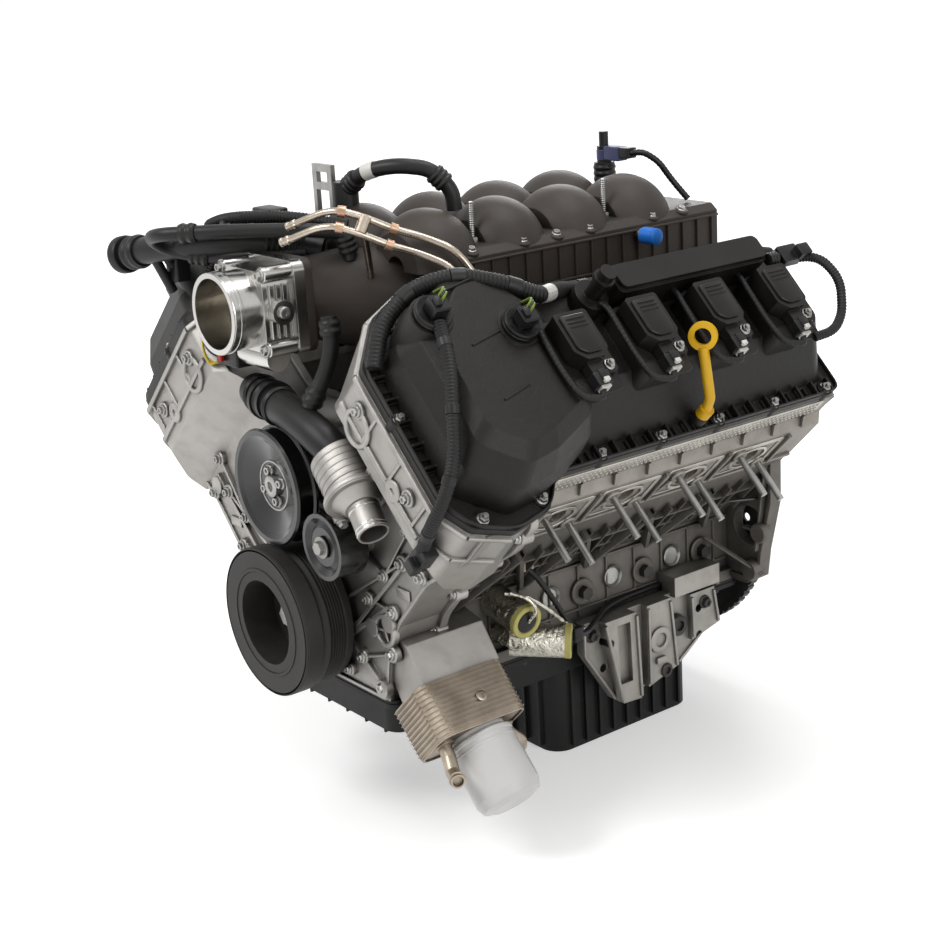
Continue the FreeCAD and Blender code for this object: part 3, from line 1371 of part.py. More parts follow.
manifold_front = 398.0
manifold_rear = 6.0
rail_x = 112.0
rail_top = 404.0
runner_x = 48.0
runner_z = 384.0
runner_radius = 64.0
runner_throat = 16.0
manifold_wall = 4.0


def manifold_outline():
    seat_low = bank_xz(head_base + 24.0, -head_inner)
    seat_high = bank_xz(head_base + 92.0, -head_inner)
    half = [(0, seat_low[1]), seat_low, seat_high, (rail_x + 4.0, seat_high[1] + 22.0), (rail_x, seat_high[1] + 36.0),
            (rail_x, rail_top - 8.0), (rail_x - 10.0, rail_top), (0, rail_top)]
    return mirrored_outline(half)


def runner(side, y, wall=0.0):
    """One arched runner: a crowned section turned over from the rail to the middle."""
    half = 43.0 - wall
    radius = runner_radius - wall
    waist = radius - 22.0
    start = V(waist, -half, 0)
    end = V(waist, half, 0)
    crown = Part.Arc(start, V(radius, 0, 0), end).toShape()
    inner = runner_throat + wall
    sides = [Part.LineSegment(end, V(inner, half, 0)).toShape(),
             Part.LineSegment(V(inner, half, 0), V(inner, -half, 0)).toShape(),
             Part.LineSegment(V(inner, -half, 0), start).toShape()]
    arch = Part.Face(Part.Wire([crown] + sides)).revolve(V(0, 0, 0), V(0, 1, 0), -180)
    sign = 1 if side == "left" else -1
    arch.translate(V(sign * runner_x, y, runner_z))
    return arch


def neck_line():
    """Centre and radius of the inlet neck's sections, from the throttle to the plenum."""
    front = V(throttle_x, throttle_length - throttle_front, throttle_z)
    back = V(-8.0, -manifold_front, 344.0)
    return [(front, 46.0), (front + V(4.0, 22.0, -1.0), 47.0), (back + V(-6.0, -60.0, 4.0), 60.0), (back, 62.0)]


def neck(wall, deeper=0.0):
    rings = [Part.Wire(Part.makeCircle(r - wall, p, V(0, 1, 0))) for p, r in neck_line()]
    whole = Part.makeLoft(rings, True)
    if deeper:
        back, radius = neck_line()[-1]
        start = back - V(0, deeper, 0)
        whole = whole.fuse(rod(tuple(start), tuple(back + V(0, deeper, 0)), radius - wall - 4.0))
    return whole


def intake_manifold():
    """Moulded manifold: plenum with two rails, eight arched runners and the inlet neck."""
    wall = manifold_wall
    outline = manifold_outline()
    front = neck_line()[0][0]
    places = [(side, y) for side in ("left", "right") for y in BORES[side]]
    flange = rounded_box_y(throttle_x, throttle_z, 53.0, front.y, front.y + 10.0, 12.0)
    body = slab_y(outline, -manifold_front, -manifold_rear)
    outer = body.multiFuse([neck(0.0), flange] + [runner(side, y) for side, y in places])
    face = Part.Face(Part.makePolygon([V(x, 0, z) for x, z in outline + outline[:1]]))
    plenum = Part.Face(face.OuterWire.makeOffset2D(-wall)).extrude(V(0, manifold_front - manifold_rear - 2 * wall, 0))
    plenum.translate(V(0, wall - manifold_front, 0))
    shell = outer.cut(plenum.multiFuse([runner(side, y, wall) for side, y in places]))
    shell = shell.cut(neck(wall, wall + 2.0))
    ports = []
    for side, y in places:
        port = rod((-head_inner - 30.0, y, port_height), (-head_inner + 1, y, port_height), 17.0)
        ports.append(on_bank(port, side))
    return cut_all(shell, ports)


def rounded_box_y(x, z, half, y0, y1, radius):
    """Square plate with rounded corners, facing along y."""
    corners = [(x - half, 0, z - half), (x + half, 0, z - half), (x + half, 0, z + half), (x - half, 0, z + half)]
    wire = Part.Wire(bent_edges([(cx, y0, cz) for cx, cy, cz in corners], radius, True))
    return Part.Face(wire).extrude(V(0, y1 - y0, 0))


def throttle_body():
    """Machined throttle body with lip, shaft bosses and four bolt columns."""
    front = -throttle_front
    back = front + throttle_length
    x, z = throttle_x, throttle_z
    bore_radius = throttle_bore / 2
    flange = rounded_box_y(x, z, 53.0, back - 14.0, back, 12.0)
    barrel = rod((x, front + 12.0, z), (x, back, z), bore_radius + 5.0)
    lip = rod((x, front, z), (x, front + 14.0, z), throttle_lip / 2)
    mid = rounded_box_y(x, z, 46.0, back - 52.0, back - 10.0, 20.0)
    columns = [rod((x + sx * 42.0, back - 50.0, z + sz * 42.0), (x + sx * 42.0, back, z + sz * 42.0), 9.0)
               for sx in (-1, 1) for sz in (-1, 1)]
    motor = rod((x - 20.0, back - 38.0, z - 54.0), (x + 45.0, back - 38.0, z - 54.0), 15.0)
    web = box(x - 18.0, x + 40.0, back - 50.0, back - 20.0, z - 54.0, z - 30.0)
    shaft_boss = rod((x + 40.0, back - 34.0, z), (x + 58.0, back - 34.0, z), 14.0)
    whole = fuse([flange, barrel, lip, mid, motor, web, shaft_boss] + columns)
    holes = [rod((x, front - 1, z), (x, back + 1, z), bore_radius)]
    holes.append(rod((x - 50.0, back - 34.0, z), (x + 52.0, back - 34.0, z), 5.0))
    return cut_all(whole, holes)


def throttle_plate():
    """Butterfly and its shaft, nearly closed at rest."""
    y = throttle_length - throttle_front - 34.0
    x, z = throttle_x, throttle_z
    shaft = rod((x - 48.0, y, z), (x + 50.0, y, z), 4.95)
    disc = rod((x, y - 1.2, z), (x, y + 1.2, z), throttle_bore / 2 - 0.4)
    return fuse([shaft, disc])


def fuel_rails():
    """Two square fuel rails under the manifold's outer edges."""
    rails = []
    for side in ("left", "right"):
        ys = BORES[side]
        w, h = -head_inner - 18.0, head_base + 100.0
        rail = rounded_slab([(-9.0, -9.0), (9.0, -9.0), (9.0, 9.0), (-9.0, 9.0)], 0, ys[0] - ys[3] + 60.0, 4.0)
        rail.rotate(V(0, 0, 0), V(1, 0, 0), -90)
        rail.translate(V(w, ys[3] - 30.0, h))
        feet = [rod((w, y + bore_pitch / 2, h), (w + 12.0, y + bore_pitch / 2, h - 26.0), 6.0) for y in (ys[1], ys[3])]
        rails.append(main_solid(on_bank(fuse([rail] + feet), side), [NODES["intake_manifold"]]))
    return Part.makeCompound(rails)


def fuel_injectors():
    """One injector under the rail at each port."""
    injectors = []
    for side in ("left", "right"):
        for y in BORES[side]:
            w, h = -head_inner - 18.0, head_base + 91.0
            body = fuse([rod((w, y, h - 12.0), (w, y, h), 7.0), rod((w + 2.0, y, h - 30.0), (w, y, h - 12.0), 5.0)])
            injectors.append(main_solid(on_bank(body, side), [NODES["intake_manifold"]]))
    return Part.makeCompound(injectors)


def fuel_tubes():
    """Two bent steel tubes across the front of the manifold to the left rail, with a clip and its leg."""
    upper = [(2.0, -548.0, 446.0), (36.0, -530.0, 460.0), (52.0, -520.0, 462.0), (66.0, -496.0, 452.0),
             (80.0, -468.0, 436.0), (98.0, -442.0, 426.0), (126.0, -422.0, 412.0), (142.0, -406.0, 380.0),
             (142.0, -398.0, 330.0)]
    lower = [(x + 4.0, y - 12.0, z - 15.0) for x, y, z in upper[:-2]] + [(151.0, -424.0, 372.0), (153.0, -420.0, 345.0)]
    clip = rod((66.0, -496.0, 452.0), (70.0, -508.0, 437.0), 7.0)
    leg = rod((66.0, -500.0, 440.0), (30.0, -470.0, 380.0), 4.0)
    tubes = fuse([bent_rod(upper, 4.0), bent_rod(lower, 4.0), clip, leg])
    taken = [NODES[n] for n in ("intake_manifold", "fuel_rails", "left_cam_cover", "left_cylinder_head")]
    return Part.makeCompound([main_solid(tubes, taken), main_solid(service_port(), taken[:1])])


def map_sensor():
    """Pressure sensor on a short post at the manifold's rear."""
    x, y = -30.0, -62.0
    post = rod((x, y, rail_top - 2.0), (x, y, 452.0), 13.0)
    return fuse([post, rod((x, y, 452.0), (x, y, 472.0), 9.0), rod((x, y, 472.0), (x, y, 490.0), 6.0),
                 box(x + 8.0, x + 34.0, y - 8.0, y + 8.0, 456.0, 472.0)])


def service_port():
    """Capped fuel test port on the left rail face."""
    return fuse([rod((rail_x - 4.0, -142.0, 386.0), (rail_x + 12.0, -142.0, 386.0), 5.0),
                 rod((rail_x + 12.0, -142.0, 386.0), (rail_x + 34.0, -142.0, 386.0), 9.0)])


# Left side: mount bracket, oil cooler, filter and sensors

def bracket_holes():
    """Places of the mount's four bolts, as (y, z) points."""
    return [(bracket_y + sy * bracket_pitch_y / 2, bracket_z + sz * bracket_pitch_z / 2)
            for sy in (-1, 1) for sz in (-1, 1)]


def mount_bracket():
    """Ribbed cast bracket on the block's rail, with its bolt boss and pockets."""
    x0 = rail_half
    plate = [(-283.0, -62.0), (-80.0, -62.0), (-80.0, -128.0), (-128.0, -160.0), (-206.0, -178.0), (-236.0, -176.0),
             (-283.0, -104.0)]
    body = slab_x(plate, x0, x0 + 14.0)
    channel = slab_x([(-262.0, -62.0), (-212.0, -62.0), (-206.0, -178.0), (-236.0, -176.0)], x0, x0 + 30.0)
    tower = slab_x([(-190.0, -62.0), (-150.0, -62.0), (-140.0, -156.0), (-190.0, -170.0)], x0, x0 + 26.0)
    shelf = box(x0 - 10.0, x0 + 24.0, -140.0, -62.0, -66.0, -40.0)
    ear = slab_x([(-112.0, -70.0), (-70.0, -70.0), (-62.0, -120.0), (-110.0, -132.0)], x0, x0 + 22.0)
    body = fuse([body, channel, tower, shelf, ear])
    pockets = [slab_x([(-243.0, -72.0), (-222.0, -72.0), (-220.0, -150.0), (-240.0, -150.0)], x0 + 22.0, x0 + 31.0),
               rod((x0 + 8.0, -132.0, -106.0), (x0 + 40.0, -132.0, -106.0), 14.0),
               box(x0 - 11.0, x0 - 0.0, -141.0, -61.0, -80.0, -52.0)]
    for y, z in bracket_holes():
        pockets.append(rod((x0 - 1, y, z), (x0 + 31.0, y, z), bracket_hole))
    return cut_all(body, pockets).cut(NODES["cylinder_block"]).cut(NODES["main_cap_bolts"])


def cooler_frame(shape):
    """Places a shape made about the cooler's own centre: z along the stack, x along the bank."""
    turned = shape.copy()
    turned.rotate(V(0, 0, 0), V(0, 1, 0), 90.0 + bank_half_angle)
    turned.translate(V(*cooler_centre))
    return turned


def oil_cooler():
    """Stack of pressed plates with a crimped edge round each."""
    half_w = cooler_width / 2
    half_l = cooler_length / 2
    plates = 11
    pitch = cooler_stack / plates
    layers = []
    outline = [(-half_w, -half_l), (half_w, -half_l), (half_w, half_l), (-half_w, half_l)]
    inner = [(x * 0.97, y * 0.98) for x, y in outline]
    layers.append(rounded_slab(inner, -cooler_stack / 2, cooler_stack / 2, 18.0))
    for i in range(plates):
        z = -cooler_stack / 2 + i * pitch
        layers.append(rounded_slab(outline, z, z + pitch * 0.62, 20.0))
    return cooler_frame(fuse(layers))


def oil_cooler_nozzles():
    """Two bent coolant nozzles on the cooler's far plate."""
    z = cooler_stack / 2
    front = [(-6.0, -44.0, z), (-6.0, -46.0, z + 16.0), (-8.0, -52.0, z + 34.0), (-22.0, -60.0, z + 48.0)]
    rear = [(10.0, 46.0, z), (10.0, 48.0, z + 12.0), (18.0, 62.0, z + 22.0), (40.0, 72.0, z + 20.0)]
    stack = box(-90, 90, -90, 90, -cooler_stack / 2, cooler_stack / 2)
    pipes = [bent_pipe(front, 8.0, 6.2, 10.0).cut(stack), bent_pipe(rear, 9.5, 7.5, 10.0).cut(stack)]
    return cooler_frame(Part.makeCompound(pipes))


def oil_filter():
    """Spin-on filter can with a domed end."""
    z = cooler_stack / 2
    profile = [(0, z), (filter_radius - 5.0, z), (filter_radius - 5.0, z + 4.0), (filter_radius, z + 8.0),
               (filter_radius, z + filter_length - 14.0), (filter_radius - 4.0, z + filter_length - 4.0),
               (filter_radius - 14.0, z + filter_length), (0, z + filter_length)]
    wire = Part.makePolygon([V(r, 0, h) for r, h in profile + profile[:1]])
    can = Part.Face(wire).revolve(V(0, 0, 0), V(0, 0, 1), 360)
    can.translate(V(4.0, 6.0, 0))
    return cooler_frame(can).cut(oil_cooler_nozzles())


def oil_filter_adapter():
    """Casting that carries the cooler on the block's side."""
    outline = [(skirt_half, 6.0), (166.0, -4.0), (194.0, -42.0), (154.0, -82.0), (rail_half + 4.0, -64.0), (skirt_half, -64.0)]
    body = slab_y(outline, -552.0, -446.0)
    block = NODES["cylinder_block"]
    cover = slab_y(front_outline(), cover_face, block_front)
    stack = cooler_frame(box(-90, 90, -90, 90, -cooler_stack / 2, 200))
    bosses = [rod((150.0, y, -30.0), (172.0, y, -18.0), 9.0) for y in (-470.0,)]
    return cut_all(fuse([body] + bosses), [block, cover, stack, NODES["main_cap_bolts"]] + front_ribs())


def sensor_sleeves():
    """Two foil sleeves over sensor leads on the block's side."""
    first = fuse([rod((skirt_half, -400.0, -1.0), (190.0, -400.0, -13.0), 20.0)])
    second = rod((152.0, -396.0, -46.0), (200.0, -345.0, -50.0), 20.0)
    holder = rod((skirt_half, -398.0, -44.0), (156.0, -392.0, -46.0), 12.0)
    block = NODES["cylinder_block"]
    return Part.makeCompound([first.cut(block), fuse([second, holder]).cut(block).cut(first)])


def lifting_bracket():
    """Bent steel strap with a slot, bolted to the inner edge of the right head's shoulder."""
    x = -96.0
    base_z = 372.0
    top = 492.0
    strap = box(x - 20.0, x + 20.0, -444.0, -438.0, base_z, top)
    window = box(x - 13.0, x + 13.0, -446.0, -436.0, base_z + 26.0, top - 30.0)
    slot = box(x - 11.0, x + 11.0, -446.0, -436.0, top - 21.0, top - 9.0)
    leg = on_bank(box(-chest_inner - 7.0, -chest_inner + 1.0, -474.0, -438.0, cover_plane - 34.0, cover_plane + 22.0), "right")
    solid = fuse([cut_all(strap, [window, slot]), leg])
    return main_solid(solid, [NODES[n] for n in ("right_cylinder_head", "right_cam_cover", "intake_manifold")])


# Hoses and wiring

def vent_hoses():
    """Moulded vent hoses and the air duct over the front of the manifold."""
    neck_top = 404.0
    loop = [(0.0, -476.0, neck_top - 8.0), (0.0, -478.0, 426.0), (-20.0, -520.0, 434.0), (-80.0, -600.0, 438.0),
            (-130.0, -644.0, 436.0), (-164.0, -640.0, 428.0), (-176.0, -612.0, 410.0), (-150.0, -580.0, 398.0),
            (-100.0, -548.0, 400.0), (-52.0, -500.0, 402.0)]
    high = [(-56.0, -436.0, 466.0), (-30.0, -430.0, 486.0), (6.0, -410.0, 494.0), (34.0, -380.0, 488.0),
            (46.0, -362.0, 462.0), (46.0, -360.0, 440.0)]
    purge = rod((-60.0, -436.0, 440.0), (-60.0, -436.0, 474.0), 15.0)
    down = [(60.0, -550.0, 352.0), (66.0, -552.0, 318.0), (62.0, -564.0, 285.0), (56.0, -587.0, 248.0)]
    duct = [(-50.0, -480.0, 400.0), (-96.0, -530.0, 416.0), (-156.0, -592.0, 416.0), (-222.0, -616.0, 404.0),
            (-270.0, -622.0, 394.0)]
    foot = rod((-214.0, -590.0, 352.0), (-214.0, -614.0, 404.0), 6.0)
    hoses = [bent_rod(loop, 8.0), fuse([bent_rod(high, 9.0), purge]), bent_rod(down, 9.0),
             fuse([bent_rod(duct, 16.0), foot])]
    solids = []
    taken = [NODES[n] for n in ("intake_manifold", "right_cam_cover", "coolant_elbow", "throttle_body",
                                "engine_sensors", "fuel_tubes")]
    for hose in hoses:
        solids.append(main_solid(hose, taken))
        taken.append(solids[-1])
    return Part.makeCompound(solids)


def wiring_harness():
    """Looms in conduit over the left cover, with branches to the front and the sensors."""
    on_cover = lambda w, y, h: bank_point(h, w, y)
    main = [on_cover(-104.0, -14.0, 392.0), on_cover(-106.0, -60.0, 404.0), on_cover(-106.0, -330.0, 408.0),
            on_cover(-100.0, -372.0, 426.0), on_cover(-92.0, -400.0, 434.0), on_cover(-112.0, -440.0, 441.0),
            on_cover(-140.0, -486.0, 432.0), on_cover(-146.0, -530.0, 412.0), on_cover(-122.0, -572.0, 392.0),
            on_cover(-84.0, -594.0, 376.0)]
    front = [on_cover(-78.0, -550.0, 449.0), on_cover(-34.0, -562.0, 449.0), on_cover(10.0, -578.0, 434.0), on_cover(52.0, -588.0, 410.0),
             on_cover(80.0, -604.0, 380.0), on_cover(88.0, -608.0, 340.0), on_cover(92.0, -600.0, 300.0)]
    looms = [bent_rod(main, 8.0), bent_rod(front, 6.0)]
    solids = []
    taken = [NODES["left_cam_cover"], NODES["timing_cover"], NODES["oil_separator"], NODES["engine_sensors"],
             NODES["left_cylinder_head"]]
    for loom in looms:
        solids.append(main_solid(loom, taken))
        taken.append(solids[-1])
    return Part.makeCompound(solids)


NODES = {}
thermostat_solid = thermostat_housing()


def build():
    """Every node of the engine by name."""
    for side in ("left", "right"):
        NODES[side + "_cam_cover"] = cam_cover(side)
        NODES[side + "_cylinder_head"] = cylinder_head(side)
        for kind in ("intake", "exhaust"):
            parts = [camshaft(side, kind), cam_phaser(side, kind)]
            NODES[side + "_" + kind + "_camshaft"] = Part.makeCompound(parts)
        for i in range(4):
            number = i + 1 + (4 if side == "left" else 0)
            NODES["piston_" + str(number)] = piston(side, 3 - i)
    NODES["cylinder_block"] = cylinder_block()
    NODES["main_bearing_caps"] = main_bearing_caps()
    NODES["main_cap_bolts"] = Part.makeCompound([side_bolts(), cap_bolts()])
    NODES["head_gaskets"] = Part.makeCompound([head_gasket("left"), head_gasket("right")])
    NODES["crankshaft"] = Part.makeCompound([crankshaft(), crank_sprocket()])
    NODES["connecting_rods"] = connecting_rods()
    NODES["timing_chains"] = timing_chains()
    NODES["chain_guides"] = chain_guides()
    NODES["damper_hub"] = damper_hub()
    NODES["damper_rubber"] = damper_rubber()
    NODES["damper_ring"] = damper_ring()
    NODES["damper_bolt"] = damper_bolt()
    NODES["flexplate"] = flexplate()
    NODES["oil_pan"] = oil_pan()
    NODES["oil_pump"] = Part.makeCompound([oil_pump(), oil_pickup()])
    NODES["timing_cover"] = Part.makeCompound([timing_cover(), idler_post()])
    NODES["valves"] = each_valve(valve)
    NODES["valve_springs"] = each_valve(spring_part)
    NODES["cam_followers"] = each_valve(follower)
    NODES["spark_plugs"] = spark_plugs()
    NODES["ignition_coils"] = ignition_coils()
    NODES["exhaust_studs"] = exhaust_studs()
    NODES["oil_filler_cap"] = filler_cap()
    NODES["oil_separator"] = oil_separator()
    NODES["dipstick"] = dipstick()
    NODES["water_pump"] = water_pump()
    NODES["water_pump_pulley"] = water_pump_pulley()
    NODES["idler_pulley"] = idler_pulley()
    NODES["thermostat_housing"] = thermostat_solid
    NODES["coolant_elbow"] = coolant_elbow()
    NODES["intake_manifold"] = intake_manifold()
    NODES["throttle_body"] = throttle_body()
    NODES["engine_sensors"] = Part.makeCompound([cam_solenoids(), map_sensor().cut(NODES["intake_manifold"])])
    NODES["throttle_plate"] = throttle_plate()
    NODES["fuel_rails"] = Part.makeCompound([fuel_rails(), fuel_injectors()])
    NODES["fuel_tubes"] = fuel_tubes()
    NODES["lifting_bracket"] = lifting_bracket()
    bracket = mount_bracket()
    NODES["mount_brackets"] = Part.makeCompound([bracket, bracket.mirror(V(0, 0, 0), V(1, 0, 0))])
    NODES["filter_adapter"] = oil_filter_adapter()
    NODES["oil_cooler"] = Part.makeCompound([oil_cooler(), oil_cooler_nozzles()])
    NODES["oil_filter"] = oil_filter()
    NODES["sensor_sleeves"] = sensor_sleeves()
    NODES["vent_hoses"] = vent_hoses()
    NODES["wiring_harness"] = wiring_harness()


if __name__ == "__main__":
    build()
    for name, shape in NODES.items():
        shape.exportStep("parts/" + name + ".step")
        print(name, len(shape.Solids), round(shape.Volume / 1000.0, 1), shape.isValid())
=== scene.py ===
import bpy
import bmesh
import math
import numpy as np
from mathutils import Matrix, Vector


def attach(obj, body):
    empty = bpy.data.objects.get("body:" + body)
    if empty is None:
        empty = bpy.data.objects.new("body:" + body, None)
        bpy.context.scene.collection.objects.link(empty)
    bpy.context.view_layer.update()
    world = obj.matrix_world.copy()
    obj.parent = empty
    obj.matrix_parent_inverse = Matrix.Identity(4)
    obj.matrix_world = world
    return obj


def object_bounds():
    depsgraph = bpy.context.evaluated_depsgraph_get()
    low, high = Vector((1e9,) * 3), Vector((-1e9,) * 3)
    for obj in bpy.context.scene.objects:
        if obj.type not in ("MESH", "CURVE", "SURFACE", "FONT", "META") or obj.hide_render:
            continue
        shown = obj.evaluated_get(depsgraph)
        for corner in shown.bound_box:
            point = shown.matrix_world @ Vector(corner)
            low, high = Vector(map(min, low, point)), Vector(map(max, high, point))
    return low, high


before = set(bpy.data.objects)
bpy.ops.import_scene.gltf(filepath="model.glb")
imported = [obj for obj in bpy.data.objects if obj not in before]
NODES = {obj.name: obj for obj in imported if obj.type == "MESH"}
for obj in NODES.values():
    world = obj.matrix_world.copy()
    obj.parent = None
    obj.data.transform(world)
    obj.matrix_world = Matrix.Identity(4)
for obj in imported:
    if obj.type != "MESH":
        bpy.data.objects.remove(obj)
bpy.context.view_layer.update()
S = math.sqrt(0.5)

# The engine's own sizes, in millimetres. They follow the model.
cover_seat = 360        # height of the cam covers' flange over the crank, along the bank
cover_crown = 440       # height of the covers' flat top
head_outer = 78         # half widths of a head's cover joint, outwards and inwards
head_inner = 112
exhaust_face = 88       # face of the ports
chest_outer = 124       # the same widths at the front cover's chest
chest_inner = 178
chest_face = -596       # front of the chests
cover_face = -556       # front of the cover between them
block_face = -491       # front of the block
head_rear = -8          # rear of the heads
manifold_rear = -6      # rear of the manifold
bell_face = -16         # front of the bell housing flange
skirt_half = 128        # half width of the block's skirt
mount_seat = 138        # half width where the brackets stand on it
rail_face = 112         # half width of the manifold's rails
pump_height = 158       # height of the pump's axis
damper_front = -631     # front of the damper
throttle_back = -590    # front of the throttle's square flange
# The bores' places along the engine, and the middle of the throttle's mouth
BORES = {"left": [-105, -205, -305, -405], "right": [-125, -225, -325, -425]}
throttle = (-50, -630, 353)


# Finishes

def fill(tree, node, inputs):
    """Write each input of a node: a socket is linked to it, and any other value is set on it."""
    for name, value in inputs.items():
        if isinstance(value, bpy.types.NodeSocket):
            tree.links.new(value, node.inputs[name])
        else:
            node.inputs[name].default_value = value


def add(tree, kind, inputs=None, **settings):
    """New shader node with its settings and inputs."""
    node = tree.nodes.new("ShaderNode" + kind)
    for name, value in settings.items():
        setattr(node, name, value)
    fill(tree, node, inputs or {})
    return node


def blend(tree, share, under, over):
    """Colour (1 - share) under + share over."""
    return add(tree, "Mix", {"Factor": share, "A": under, "B": over}, data_type="RGBA").outputs["Result"]


def finish(name, color, rough, metal=0, grain=900, bump=0.15, mottle=14, vary=0.12, edge=0.0006,
           coat=0, streak=None, dirt=None, wrinkle=0, spec=0.5, painted_crease_shade=0):
    """One finish. Colour: c (1 - vary) to c (1 + vary) by soft noise, then dirt where a second noise is high, and
    painted shade down to 0.22 c in corners that little light reaches. Gloss: rough - 0.12 to rough + 0.14 by the
    first noise. Skin: fine noise as bump on edges rounded by a radius, and slow folds where the wall is wrinkled."""
    mat = bpy.data.materials.new(name)
    mat.use_nodes = True
    tree = mat.node_tree
    place = add(tree, "TexCoord").outputs["Object"]
    clouds = add(tree, "TexNoise", {"Vector": place, "Scale": mottle, "Detail": 6, "Roughness": 0.65}).outputs["Fac"]
    tint = add(tree, "ValToRGB", {"Fac": clouds})
    for stop, at, share in zip(tint.color_ramp.elements, (0.34, 0.68), (1 - vary, 1 + vary)):
        stop.position = at
        stop.color = [min(1, c * share) for c in color] + [1]
    shade = tint.outputs["Color"]
    along = add(tree, "Mapping", {"Vector": place, "Scale": streak}).outputs["Vector"] if streak else place
    skin = add(tree, "TexNoise", {"Vector": along, "Scale": grain, "Detail": 3})
    corner = add(tree, "Bevel", {"Radius": edge}, samples=4)
    normal = add(tree, "Bump", {"Strength": bump, "Distance": 0.0005, "Height": skin.outputs["Fac"],
                                "Normal": corner.outputs["Normal"]}).outputs["Normal"]
    if wrinkle:
        folds = add(tree, "TexNoise", {"Vector": place, "Scale": 95, "Detail": 4, "Distortion": 1.4})
        normal = add(tree, "Bump", {"Strength": wrinkle, "Distance": 0.003, "Height": folds.outputs["Fac"],
                                    "Normal": normal}).outputs["Normal"]
    gloss = add(tree, "MapRange", {"Value": clouds, "To Min": max(0.05, rough - 0.12), "To Max": min(1, rough + 0.14)})
    if dirt:
        grime = add(tree, "TexNoise", {"Vector": place, "Scale": 42, "Detail": 7})
        patch = add(tree, "MapRange", {"Value": grime.outputs["Fac"], "From Min": 0.48, "From Max": 0.72,
                                       "To Max": dirt[3]})
        shade = blend(tree, patch.outputs["Result"], shade, [*dirt[:3], 1])
    # Painted shade: where ambient occlusion finds a corner or crease, the colour is darkened towards 0.22 c.
    if painted_crease_shade:
        depth = add(tree, "AmbientOcclusion", {"Distance": 0.02}, samples=4)
        dark = add(tree, "MapRange", {"Value": depth.outputs["AO"], "From Min": 0.25, "From Max": 0.85,
                                      "To Min": painted_crease_shade, "To Max": 0})
        shade = blend(tree, dark.outputs["Result"], shade, [c * 0.22 for c in color] + [1])
    fill(tree, tree.nodes["Principled BSDF"],
         {"Base Color": shade, "Metallic": metal, "Roughness": gloss.outputs["Result"], "Normal": normal,
          "Specular IOR Level": spec, "Coat Weight": coat, "Coat Roughness": 0.15})
    return mat
